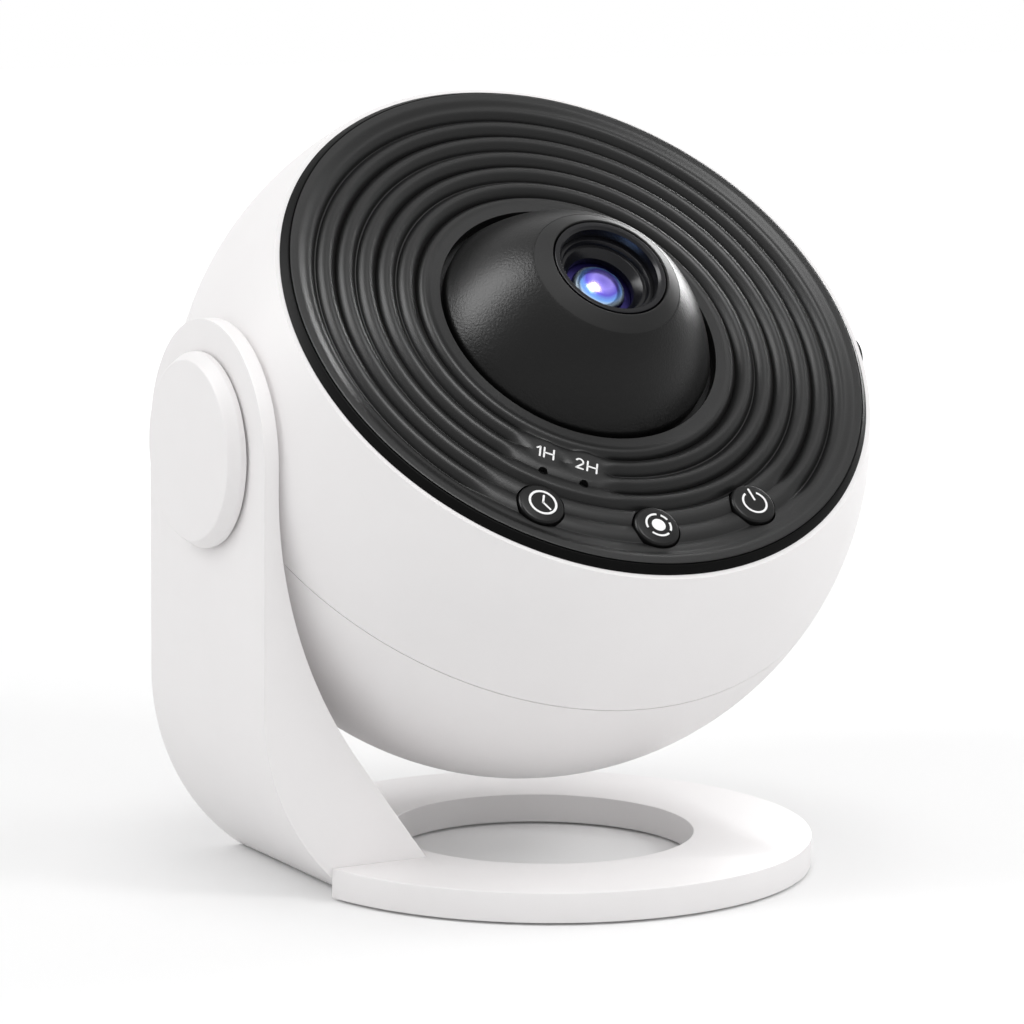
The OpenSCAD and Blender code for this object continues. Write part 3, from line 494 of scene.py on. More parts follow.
@dataclass(frozen=True)
class Finish:
    """A surface: what it is made of and how it was made.

    Sizes are in millimetres. The two colours are the extremes of a faint mottle.
    """

    name: str
    colour: str
    second: str
    roughness: float
    mottle_mm: float = 6.0
    grain_mm: float = 0.4
    grain_depth_mm: float = 0.01
    specular: float = 0.5
    metallic: float = 0.0
    mottle_detail: float = 3.0
    grain_detail: float = 2.0
    grain_roughness: float = 0.6

    def material(self) -> bpy.types.Material:
        """Makes the material once, and returns it."""
        made = bpy.data.materials.get(self.name)
        if made:
            return made
        made = bpy.data.materials.new(self.name)
        made.use_nodes = True
        tree = made.node_tree
        shader = tree.nodes["Principled BSDF"]
        shader.inputs["Roughness"].default_value = self.roughness
        shader.inputs["Specular IOR Level"].default_value = self.specular
        shader.inputs["Metallic"].default_value = self.metallic
        coords = add_node(tree, "ShaderNodeTexCoord")
        self.pattern(tree, shader, coords.outputs["Object"])
        return made

    def mix_colours(self, tree: bpy.types.NodeTree, shader: bpy.types.Node,
                    share: bpy.types.NodeSocket) -> None:
        """Mixes the two colours by a pattern.

        Args:
            tree: the node tree.
            shader: the surface shader.
            share: the pattern, 0 for the first colour and 1 for the second.
        """
        first, second = MIX_COLOURS
        colours = add_node(tree, "ShaderNodeMix", {"Factor": share, first: linear(self.colour),
                                                   second: linear(self.second)}, data_type="RGBA")
        tree.links.new(colours.outputs[MIX_RESULT], shader.inputs["Base Color"])

    def raise_pattern(self, tree: bpy.types.NodeTree, shader: bpy.types.Node,
                      height: bpy.types.NodeSocket) -> None:
        """Makes a pattern stand out by the finish's grain depth.

        Args:
            tree: the node tree.
            shader: the surface shader.
            height: the pattern, 1 where it is highest.
        """
        bump = add_node(tree, "ShaderNodeBump", {"Height": height, "Strength": 1.0,
                                                 "Distance": self.grain_depth_mm * MM})
        tree.links.new(bump.outputs["Normal"], shader.inputs["Normal"])

    def mottle(self, tree: bpy.types.NodeTree, shader: bpy.types.Node,
               coords: bpy.types.NodeSocket) -> None:
        """Mixes the two colours in soft patches.

        Args:
            tree: the node tree.
            shader: the surface shader.
            coords: the object coordinates.
        """
        patches = add_node(tree, "ShaderNodeTexNoise", {
            "Vector": coords, "Scale": scale_for(self.mottle_mm), "Detail": self.mottle_detail})
        self.mix_colours(tree, shader, patches.outputs["Fac"])

    def pattern(self, tree: bpy.types.NodeTree, shader: bpy.types.Node,
                coords: bpy.types.NodeSocket) -> None:
        """Draws the surface's own pattern: a faint mottle and a fine grain.

        Args:
            tree: the node tree.
            shader: the surface shader.
            coords: the object coordinates.
        """
        self.mottle(tree, shader, coords)
        grit = add_node(tree, "ShaderNodeTexNoise", {
            "Vector": coords, "Scale": scale_for(self.grain_mm), "Detail": self.grain_detail,
            "Roughness": self.grain_roughness})
        self.raise_pattern(tree, shader, grit.outputs["Fac"])


@dataclass(frozen=True)
class Turned(Finish):
    """Metal turned on a lathe or drawn: fine parallel lines across one axis."""

    axis: str = "X"
    line_mm: float = 0.3
    unevenness: float = 1.5
    line_detail: float = 1.0

    def pattern(self, tree: bpy.types.NodeTree, shader: bpy.types.Node,
                coords: bpy.types.NodeSocket) -> None:
        """Draws tool lines across the axis over the mottle.

        Args:
            tree: the node tree.
            shader: the surface shader.
            coords: the object coordinates.
        """
        self.mottle(tree, shader, coords)
        lines = add_node(tree, "ShaderNodeTexWave", {
            "Vector": coords, "Scale": scale_for(self.line_mm * 2), "Distortion": self.unevenness,
            "Detail": self.line_detail}, bands_direction=self.axis)
        self.raise_pattern(tree, shader, lines.outputs["Fac"])


@dataclass(frozen=True)
class CircuitBoard(Finish):
    """Glass-fibre board under solder mask: raised copper tracks and small pads."""

    track_mm: float = 1.6
    gap: float = 0.06
    run_length: float = 1.3
    row_height: float = 0.5

    def pattern(self, tree: bpy.types.NodeTree, shader: bpy.types.Node,
                coords: bpy.types.NodeSocket) -> None:
        """Draws lighter tracks that stand slightly proud.

        Args:
            tree: the node tree.
            shader: the surface shader.
            coords: the object coordinates.
        """
        turn = add_node(tree, "ShaderNodeMapping", {"Vector": coords, "Rotation": (-TILT, 0.0, 0.0)})
        tracks = add_node(tree, "ShaderNodeTexBrick", {
            "Vector": turn.outputs["Vector"], "Scale": scale_for(self.track_mm),
            "Color1": linear(self.colour), "Color2": linear(self.colour), "Mortar": linear(self.second),
            "Mortar Size": self.gap, "Brick Width": self.run_length, "Row Height": self.row_height})
        tree.links.new(tracks.outputs["Color"], shader.inputs["Base Color"])
        self.raise_pattern(tree, shader, tracks.outputs["Fac"])


@dataclass(frozen=True)
class CoatedGlassWithPaintedGlint(Finish):
    """Optical glass under a coating that changes its colour from the middle to the rim, with a pale
    cyan-white ring near the rim that is a painted glint.

    The first colour is the middle's and the second the rim's, with the rings between
    them given as a share of the coated radius and a colour.
    """

    rings: tuple[tuple[float, str], ...] = ()
    coated_r_mm: float = 5.6
    cloudiness: float = 0.08

    def pattern(self, tree: bpy.types.NodeTree, shader: bpy.types.Node,
                coords: bpy.types.NodeSocket) -> None:
        """Draws the coating's rings round the lens axis, made uneven by a faint cloudiness. The pale
        cyan-white ring near the rim is a painted glint.

        Args:
            tree: the node tree.
            shader: the surface shader.
            coords: the object coordinates.
        """
        ball = add_node(tree, "ShaderNodeMapping", {"Vector": coords, "Location": PIVOT,
                                                    "Rotation": (TILT, 0.0, 0.0)}, vector_type="TEXTURE")
        across = scale_for(self.coated_r_mm)
        flat = add_node(tree, "ShaderNodeVectorMath", {0: ball.outputs[0], 1: (across, across, 0.0)},
                        operation="MULTIPLY")
        away = add_node(tree, "ShaderNodeVectorMath", {0: flat.outputs[0]}, operation="LENGTH")
        cloud = add_node(tree, "ShaderNodeTexNoise", {"Vector": coords, "Scale": scale_for(self.mottle_mm)})
        place = add_node(tree, "ShaderNodeMath", {
            0: cloud.outputs["Fac"], 1: self.cloudiness, 2: away.outputs["Value"]},
            operation="MULTIPLY_ADD")
        ramp = add_node(tree, "ShaderNodeValToRGB", {0: place.outputs[0]})
        # the near-white stop close to the rim is a painted glint over the coating's colours
        rings = ((0.0, self.colour), *self.rings, (1.0, self.second))
        stops = ramp.color_ramp.elements
        while len(stops) < len(rings):
            stops.new(1.0)
        for stop, (share, colour) in zip(stops, rings):
            stop.position = share
            stop.color = linear(colour)
        tree.links.new(ramp.outputs["Color"], shader.inputs["Base Color"])


@dataclass(frozen=True)
class StarFilm(Finish):
    """Dark photographic film with clear pinholes for the stars."""

    star_mm: float = 1.1
    dot: Point = (0.12, 0.16)

    def pattern(self, tree: bpy.types.NodeTree, shader: bpy.types.Node,
                coords: bpy.types.NodeSocket) -> None:
        """Draws scattered pale dots with soft edges.

        Args:
            tree: the node tree.
            shader: the surface shader.
            coords: the object coordinates.
        """
        cells = add_node(tree, "ShaderNodeTexVoronoi", {"Vector": coords, "Scale": scale_for(self.star_mm)})
        dots = add_node(tree, "ShaderNodeMapRange", {
            "Value": cells.outputs["Distance"], "From Min": self.dot[0], "From Max": self.dot[1],
            "To Min": 1.0, "To Max": 0.0})
        self.mix_colours(tree, shader, dots.outputs["Result"])


# ABS moulded in a spark-eroded tool: warm white, satin, with a very fine grain
WHITE_ABS = Finish("moulded_white_abs", "#f6f4f4", "#f2f0f0", 0.42, mottle_mm=18, grain_mm=0.5,
                   grain_depth_mm=0.006, specular=0.2)
# ABS moulded in a coarser spark-eroded tool: charcoal, satin, sand-like
CHARCOAL_ABS = Finish("moulded_charcoal_abs", "#121212", "#0f0f0f", 0.4, mottle_mm=5, grain_mm=0.45,
                      grain_depth_mm=0.02, specular=0.26)
# ABS from a polished tool: near black with a soft gloss, for the bezel
BEZEL_ABS = Finish("polished_black_abs", "#0a0a0a", "#080808", 0.45, mottle_mm=8, grain_mm=0.6,
                   grain_depth_mm=0.004, specular=0.05)
# Leather-grained black ABS: the focus cone's grip surface, satin with tiny pits, drawn deep enough to show
GRAINED_ABS = Finish("grained_black_abs", "#0d0d0d", "#0a0a0a", 0.33, mottle_mm=4, grain_mm=0.5,
                     grain_depth_mm=0.06, specular=0.2)
# Fine-blasted black ABS: the cone's nose, dull and even
BLASTED_ABS = Finish("blasted_black_abs", "#232323", "#1f1f1f", 0.55, mottle_mm=4, grain_mm=0.3,
                     grain_depth_mm=0.01, specular=0.15)
# Anodised black lens metal: dark satin rings round the glass, with a faint violet cast that is a painted
# reflection of the lens coating
LENS_RING_PAINTED_REFLECTION = Finish("anodised_lens_ring_painted_reflection", "#101013", "#0c0c10", 0.26, mottle_mm=3, grain_mm=0.3,
                         grain_depth_mm=0.002, specular=0.22)
# Satin black key caps with a fine texture
KEY_ABS = Finish("satin_key_abs", "#141414", "#101010", 0.33, mottle_mm=2, grain_mm=0.3,
                 grain_depth_mm=0.006, specular=0.16)
# Pad-printed white ink: flat white, slightly uneven
WHITE_INK = Finish("pad_printed_white_ink", "#f4f4f4", "#ededed", 0.6, mottle_mm=1, grain_mm=0.2,
                   grain_depth_mm=0.002)
# Unpainted inner mouldings: plain black ABS with flow marks
INNER_ABS = Finish("inner_black_abs", "#1a1a1a", "#151515", 0.55, mottle_mm=9, grain_mm=0.5,
                   grain_depth_mm=0.01)
# Thermoplastic rubber feet: dark, matte, faintly speckled
PAD_RUBBER = Finish("moulded_rubber", "#3a3a3a", "#303030", 0.85, mottle_mm=1.2, grain_mm=0.4,
                    grain_depth_mm=0.03)
# Zinc-plated steel of screws and pins: bright, with turning lines
PLATED_STEEL = Turned("zinc_plated_steel", "#b4b6ba", "#a4a7ac", 0.32, mottle_mm=2, metallic=1.0,
                      grain_depth_mm=0.002, line_mm=0.2)
# Stamped steel shell of the power socket
STAMPED_STEEL = Finish("stamped_steel", "#b0b2b6", "#9da0a5", 0.35, mottle_mm=2, grain_mm=0.4,
                       grain_depth_mm=0.002, metallic=1.0)
# Turned brass of posts and bush: warm metal with fine rings
TURNED_BRASS = Turned("turned_brass", "#c0a162", "#ad8f52", 0.3, mottle_mm=2, metallic=1.0,
                      grain_depth_mm=0.003, line_mm=0.25)
# Extruded aluminium of the heat sink: pale metal with long draw lines
EXTRUDED_ALUMINIUM = Turned("extruded_aluminium", "#b9bbbf", "#abadb2", 0.38, mottle_mm=5, metallic=1.0,
                            grain_depth_mm=0.004, line_mm=0.4, axis="X")
# Green solder mask over copper tracks
GREEN_BOARD = CircuitBoard("green_solder_mask", "#1c5536", "#2d7a50", 0.3, grain_depth_mm=0.03)
# White solder mask of the lamp board
WHITE_BOARD = CircuitBoard("white_solder_mask", "#e4e4e0", "#cfcfca", 0.35, grain_depth_mm=0.03)
# Phosphor gel of the light source: yellow, slightly glossy
PHOSPHOR = Finish("yellow_phosphor_gel", "#e8cf4e", "#e0c23f", 0.25, mottle_mm=1, grain_mm=0.5,
                  grain_depth_mm=0.005)
# Epoxy chip and switch bodies: dark and slightly grainy
EPOXY = Finish("moulded_epoxy", "#1f1f21", "#18181a", 0.5, mottle_mm=1.5, grain_mm=0.25,
               grain_depth_mm=0.012)
# Smoked acrylic of the light pipes: almost black and glossy
SMOKED_ACRYLIC = Finish("smoked_acrylic", "#0b0b0c", "#080809", 0.2, mottle_mm=2, grain_mm=0.5,
                        grain_depth_mm=0.002)
# Coated optical glass of the lenses: violet in the middle, pale blue near the rim with a pale cyan-white
# ring there that is a painted glint, dark beyond
LENS_GLASS_PAINTED_GLINT = CoatedGlassWithPaintedGlint("coated_lens_glass_painted_glint", "#7668cf", "#2a2360", 0.2, mottle_mm=3, metallic=0.8, rings=(
    (0.4, "#9a8cf0"), (0.62, "#6a5fd8"), (0.8, "#7fb4ff"), (0.93, "#dff2ff")))
# Star film: near black with pale pinholes
STAR_FILM = StarFilm("photographic_star_film", "#08080c", "#cfd4e6", 0.12)


# ---- studio ----


@dataclass
class Camera:
    """The photograph's viewpoint, in millimetres and degrees from under the ball's centre."""

    distance: float = 836.41
    azimuth: float = -29.9973
    elevation: float = 7.6276
    aim_height: float = 84.98
    yaw: float = 29.9
    pitch: float = 8.7769
    roll: float = 0.5228
    lens: float = 146.862
    sensor: float = 36.0
    nearest: float = 50.0

    def build(self) -> None:
        """Places the camera and makes it the scene's own."""
        around, above = math.radians(-self.azimuth), math.radians(self.elevation)
        yaw, pitch, roll = (math.radians(v) for v in (self.yaw, self.pitch, self.roll))
        stand = Vector((-math.sin(around) * math.cos(above), -math.cos(around) * math.cos(above),
                        math.sin(above))) * self.distance + Vector((0, 0, self.aim_height))
        forward = Vector((math.sin(yaw) * math.cos(pitch), math.cos(yaw) * math.cos(pitch),
                          -math.sin(pitch)))
        level = Vector((math.cos(yaw), -math.sin(yaw), 0.0))
        upward = level.cross(forward)
        right = level * math.cos(roll) + upward * math.sin(roll)
        up = -level * math.sin(roll) + upward * math.cos(roll)
        data = bpy.data.cameras.new("studio_camera")
        data.lens = self.lens
        data.sensor_width = self.sensor
        data.clip_start = self.nearest * MM
        camera = bpy.data.objects.new("studio_camera", data)
        bpy.context.scene.collection.objects.link(camera)
        under_ball = Vector((PIVOT.x, PIVOT.y, 0.0))
        turn = Matrix((right, up, -forward)).transposed().to_4x4()
        camera.matrix_world = Matrix.Translation(under_ball + stand * MM) @ turn
        bpy.context.scene.camera = camera


def seen_rays(tree: bpy.types.NodeTree) -> bpy.types.NodeSocket:
    """Tells the rays that show a surface from those that only light others.

    Args:
        tree: the node tree.

    Returns:
        A socket that is 1 for camera, glossy and transmission rays, else 0.
    """
    rays = add_node(tree, "ShaderNodeLightPath")
    seen = add_node(tree, "ShaderNodeMath", {0: rays.outputs["Is Camera Ray"],
                                             1: rays.outputs["Is Glossy Ray"]}, operation="MAXIMUM")
    return add_node(tree, "ShaderNodeMath", {0: seen.outputs[0], 1: rays.outputs["Is Transmission Ray"]},
                    operation="MAXIMUM").outputs[0]


class LampKind(Enum):
    """What a lamp does: light the surfaces, or be seen in their gloss."""

    LIGHT = "light"
    CARD = "card"


@dataclass(frozen=True)
class SoftBox:
    """One soft lamp: its place, what it points at and its size, in metres, and its power."""

    name: str
    kind: LampKind
    place: tuple[float, float, float]
    target_z: float
    size: tuple[float, float]
    watts: float

    def build(self) -> None:
        """Hangs the lamp."""
        data = bpy.data.lights.new(self.name, "AREA")
        data.shape = "RECTANGLE"
        data.size, data.size_y = self.size
        data.energy = self.watts
        lamp = bpy.data.objects.new(self.name, data)
        bpy.context.scene.collection.objects.link(lamp)
        lamp.visible_diffuse = self.kind is LampKind.LIGHT
        lamp.visible_glossy = self.kind is LampKind.CARD
        aim = Vector((0, 0, self.target_z)) - Vector(self.place)
        turn = aim.to_track_quat("-Z", "Y").to_matrix().to_4x4()
        lamp.matrix_world = Matrix.Translation(self.place) @ turn


@dataclass
class Studio:
    """A pale floor under soft white light, in metres.

    Where it is seen, the floor is a little brighter than the lamps make it, more so
    far from the object, which hides its edge and keeps the shadow.
    """

    floor_half: float = 3.0
    floor_white: float = 0.9
    bounce: float = 0.75
    near_lift: float = 0.04
    far_lift: float = 0.42
    lift_reach: tuple[float, float] = (0.16, 0.9)
    sky: float = 0.77
    lamps: tuple[SoftBox, ...] = (
        SoftBox("left_softbox", LampKind.LIGHT, (-0.85, 0.1, 0.8), 0.1, (0.3, 0.4), 1.8),
        SoftBox("right_softbox", LampKind.LIGHT, (0.95, 0.0, 0.6), 0.1, (0.3, 0.4), 1.4),
        SoftBox("top_softbox", LampKind.LIGHT, (0.0, 0.0, 1.25), 0.05, (0.4, 0.4), 1.7),
        SoftBox("front_softbox", LampKind.LIGHT, (0.5, -0.8, 0.75), 0.1, (0.3, 0.3), 2.0),
        SoftBox("left_card", LampKind.CARD, (-0.72, 0.3, 0.78), 0.12, (0.5, 0.8), 15.0),
        SoftBox("over_card", LampKind.CARD, (0.02, -0.46, 1.0), 0.12, (0.45, 0.4), 9.0),
        SoftBox("right_card", LampKind.CARD, (0.8, 0.5, 0.42), 0.12, (0.4, 0.6), 14.0),
    )

    def build(self) -> None:
        """Lays the floor, lights the scene and sets the view."""
        self.lay_floor()
        self.light_sky()
        for lamp in self.lamps:
            lamp.build()
        bpy.context.scene.view_settings.view_transform = "Standard"

    def lay_floor(self) -> None:
        """Lays a plain white floor that shows as white, keeps the shadow and reflects less light."""
        deselect_everything()
        bpy.ops.mesh.primitive_plane_add(size=2 * self.floor_half)
        floor = bpy.context.object
        floor.name = "studio_floor"
        material = bpy.data.materials.new("white_floor")
        material.use_nodes = True
        tree = material.node_tree
        tree.nodes.clear()
        seen = seen_rays(tree)
        coords = add_node(tree, "ShaderNodeTexCoord")
        away = add_node(tree, "ShaderNodeVectorMath", {0: coords.outputs["Object"]}, operation="LENGTH")
        share = add_node(tree, "ShaderNodeMapRange", {
            "Value": away.outputs["Value"], "From Min": self.lift_reach[0], "From Max": self.lift_reach[1],
            "To Min": self.near_lift, "To Max": self.far_lift}, interpolation_type="SMOOTHSTEP")
        lift = add_node(tree, "ShaderNodeMath", {0: seen, 1: share.outputs[0]}, operation="MULTIPLY")
        glow = add_node(tree, "ShaderNodeEmission", {"Strength": lift.outputs[0]})
        tone = add_node(tree, "ShaderNodeMapRange", {"Value": seen, "To Min": self.bounce,
                                                     "To Max": self.floor_white})
        paint = add_node(tree, "ShaderNodeBsdfDiffuse", {"Color": tone.outputs[0]})
        both = add_node(tree, "ShaderNodeAddShader", {0: paint.outputs[0], 1: glow.outputs[0]})
        add_node(tree, "ShaderNodeOutputMaterial", {"Surface": both.outputs[0]})
        floor.data.materials.append(material)

    def light_sky(self) -> None:
        """Fills the room with even light, white where it is seen."""
        world = bpy.data.worlds.new("studio_room")
        bpy.context.scene.world = world
        world.use_nodes = True
        tree = world.node_tree
        tree.nodes.clear()
        white = linear("#ffffff")
        light = add_node(tree, "ShaderNodeBackground", {"Color": white, "Strength": self.sky})
        shown = add_node(tree, "ShaderNodeBackground", {"Color": white, "Strength": 1.0})
        both = add_node(tree, "ShaderNodeMixShader", {0: seen_rays(tree), 1: light.outputs[0],
                                                      2: shown.outputs[0]})
        add_node(tree, "ShaderNodeOutputWorld", {"Surface": both.outputs[0]})


# ---- the inner and plain pieces keep their solids ----


@dataclass
class CarriedPieces:
    """The solids that stay as they are, each with its finish."""

    finishes: dict[str, Finish] = field(default_factory=lambda: {
        "lower_shell": WHITE_ABS, "upper_shell": WHITE_ABS,
        "arm_screws": PLATED_STEEL, "foot_pads": PAD_RUBBER, "pivot_bush": TURNED_BRASS,
        "friction_washer": INNER_ABS, "wave_washer": PLATED_STEEL, "shell_screws": PLATED_STEEL,
        "chassis": INNER_ABS, "pivot_hub": INNER_ABS, "pivot_shaft": PLATED_STEEL,
        "pivot_nut": PLATED_STEEL, "film_guides": INNER_ABS, "guide_screws": PLATED_STEEL,
        "lens_tube": INNER_ABS, "tube_screws": PLATED_STEEL, "condenser_holder": INNER_ABS,
        "condenser_lens": LENS_GLASS_PAINTED_GLINT, "light_board": WHITE_BOARD, "light_source": PHOSPHOR,
        "heat_sink": EXTRUDED_ALUMINIUM, "heat_sink_posts": TURNED_BRASS, "main_board": GREEN_BOARD,
        "board_posts": TURNED_BRASS, "board_parts": EPOXY, "power_socket": STAMPED_STEEL,
        "key_board": GREEN_BOARD, "key_board_screws": PLATED_STEEL, "key_switches": EPOXY,
        "timer_lights": WHITE_BOARD, "light_pipes": SMOKED_ACRYLIC, "rear_lens": LENS_GLASS_PAINTED_GLINT,
        "drive_pins": PLATED_STEEL, "film_tray": INNER_ABS, "film_disc": STAR_FILM,
        "film_frame": EPOXY, "knob_screw": PLATED_STEEL,
    })

    def build(self) -> None:
        """Gives every carried solid its material."""
        for name, finish in self.finishes.items():
            piece = frame["nodes"][name]
            piece.data.materials.clear()
            piece.data.materials.append(finish.material())
            log.info("solid %s: %s", name, finish.name)


# ---- the stand's white mouldings ----


@dataclass
class Stand:
    """Ring, arm and pivot cap, with the small edge roundings of a moulding.

    The cap's heights run along the pivot, from the ball's centre.
    """

    edge: float = 0.45
    cap_cup_r: float = 15.5
    cap_spigot_r: float = 17.2
    cap_r: float = 18.9
    cap_bevel: float = 1.45
    cap_foot: float = 68.7
    cap_shadow: float = 70.1
    cap_rim: float = 71.325
    cap_top: float = 73.5
    cap_wall: float = 1.2
    cap_foot_round: float = 0.2
    cap_rim_round: float = 0.5
    cap_top_round: float = 0.6

    def build(self) -> None:
        """Makes the three mouldings."""
        for node in ("base_ring", "arm"):
            piece = merged_copy(node, node + "_moulding")
            soften_edges(piece, self.edge)
            mount(piece, Body.STAND, "white_plastic", WHITE_ABS, node)
        cup_z = self.cap_top - self.cap_wall
        outline = rounded([
            (0.0, cup_z), (self.cap_cup_r, cup_z), (self.cap_cup_r, self.cap_foot),
            (self.cap_spigot_r, self.cap_foot), (self.cap_spigot_r, self.cap_shadow),
            (self.cap_r, self.cap_shadow, self.cap_foot_round),
            (self.cap_r, self.cap_rim, self.cap_rim_round),
            (self.cap_r - self.cap_bevel, self.cap_top, self.cap_top_round), (0.0, self.cap_top)])
        cap = lathe("pivot_cap_moulding", outline, PIVOT_AXIS, steps=192)
        mount(cap, Body.STAND, "white_plastic", WHITE_ABS, "pivot_cap")


# ---- the rippled face ----


@dataclass(frozen=True)
class SmoothField:
    """A stretch of the face where the ripples fade, between two directions and two radii.

    The two soft values say over how many degrees and millimetres they fade.
    """

    angles: Point
    angle_soft: float
    radii: Point
    radius_soft: float
    share: float

    def strength(self, radius: float, angle: float) -> float:
        """Says how much of the ripples the field takes away.

        Args:
            radius: distance from the lens axis.
            angle: direction in degrees.

        Returns:
            0 outside the field, up to its share inside.
        """
        turned = min(angle - self.angles[0], self.angles[1] - angle) / self.angle_soft
        moved = min(radius - self.radii[0], self.radii[1] - radius) / self.radius_soft
        return self.share * ease(turned + 0.5) * ease(moved + 0.5)


@dataclass
class TimerMarks:
    """The marks 1H and 2H, printed in white beside their lights."""

    radius: float = 37.06
    angles: Point = (-123.4, -110.5)
    widths: Point = (3.75, 4.65)
    turn: float = -27.0
    height: float = 2.7
    stroke: float = 0.36
    rise: float = 0.035
    h_starts: Point = (1.45, 2.35)
    h_width: float = 1.9
    one_stem: float = 0.62
    one_flag: float = 0.5
    two_bow_r: float = 0.7
    two_bow_left: float = 0.05
    two_hip: float = -35.0
    two_sweep: float = 200.0
    two_foot: Point = (0.1, 1.5)
    margin: float = 1.4
    soft: float = 1.6

    def smoothness(self, radius: float, angle: float) -> float:
        """Says how smooth the face is at a place for the marks' sake.

        Args:
            radius: distance from the lens axis.
            angle: direction in degrees.

        Returns:
            1 under a mark, 0 well away from both.
        """
        here = polar(radius, angle)
        reaches = ((width / 2 + self.margin - (here - polar(self.radius, at)).length) / self.soft
                   for at, width in zip(self.angles, self.widths))
        return max(ease(reach + 0.5) for reach in reaches)

    def build(self, heights: list[float]) -> None:
        """Prints both marks.

        Args:
            heights: the face's height under each mark.
        """
        first_h, second_h = self.h_starts
        glyphs = (self.one() + self.letter_h(first_h), self.two() + self.letter_h(second_h))
        for i, (strokes, at, width, height) in enumerate(zip(glyphs, self.angles, self.widths, heights)):
            middle = Vector((width / 2 - self.stroke / 2, self.height / 2, 0)) * MM
            place = (BALL @ Matrix.Translation(polar(self.radius, at, height) * MM)
                     @ Matrix.Rotation(math.radians(self.turn), 4, "Z") @ Matrix.Translation(-middle))
            mark = join_strokes(f"timer_mark_{i + 1}", strokes, place)
            mount(mark, Body.HEAD, "white_plastic", WHITE_INK)

    def bar(self, start: Point, end: Point) -> bpy.types.Object:
        """Makes one straight stroke of a mark."""
        return bar_stroke(start, end, self.stroke, -self.rise, self.rise)

    def one(self) -> list[bpy.types.Object]:
        """Makes the strokes of a 1."""
        top, half = self.height - self.stroke / 2, self.stroke / 2
        head = (self.one_stem, top)
        return [self.bar((self.one_stem, half), head), self.bar((0.0, top - self.one_flag), head)]

    def two(self) -> list[bpy.types.Object]:
        """Makes the strokes of a 2."""
        half = self.stroke / 2
        bow = Vector((self.two_bow_r + self.two_bow_left, self.height - half - self.two_bow_r, 0))
        arc = ring_stroke(self.two_bow_r, self.stroke, -self.rise, self.rise, self.two_hip, self.two_sweep)
        settle(arc, Matrix.Translation(bow * MM))
        hip = bow + polar(self.two_bow_r, self.two_hip)
        left, right = self.two_foot
        return [arc, self.bar((hip.x, hip.y), (left, half)), self.bar((left, half), (right, half))]

    def letter_h(self, left: float) -> list[bpy.types.Object]:
        """Makes the strokes of an H.

        Args:
            left: where its left stroke stands.

        Returns:
            The three strokes.
        """
        top, half = self.height - self.stroke / 2, self.stroke / 2
        right, middle = left + self.h_width, self.height / 2
        return [self.bar((left, half), (left, top)), self.bar((right, half), (right, top)),
                self.bar((left, middle), (right, middle))]


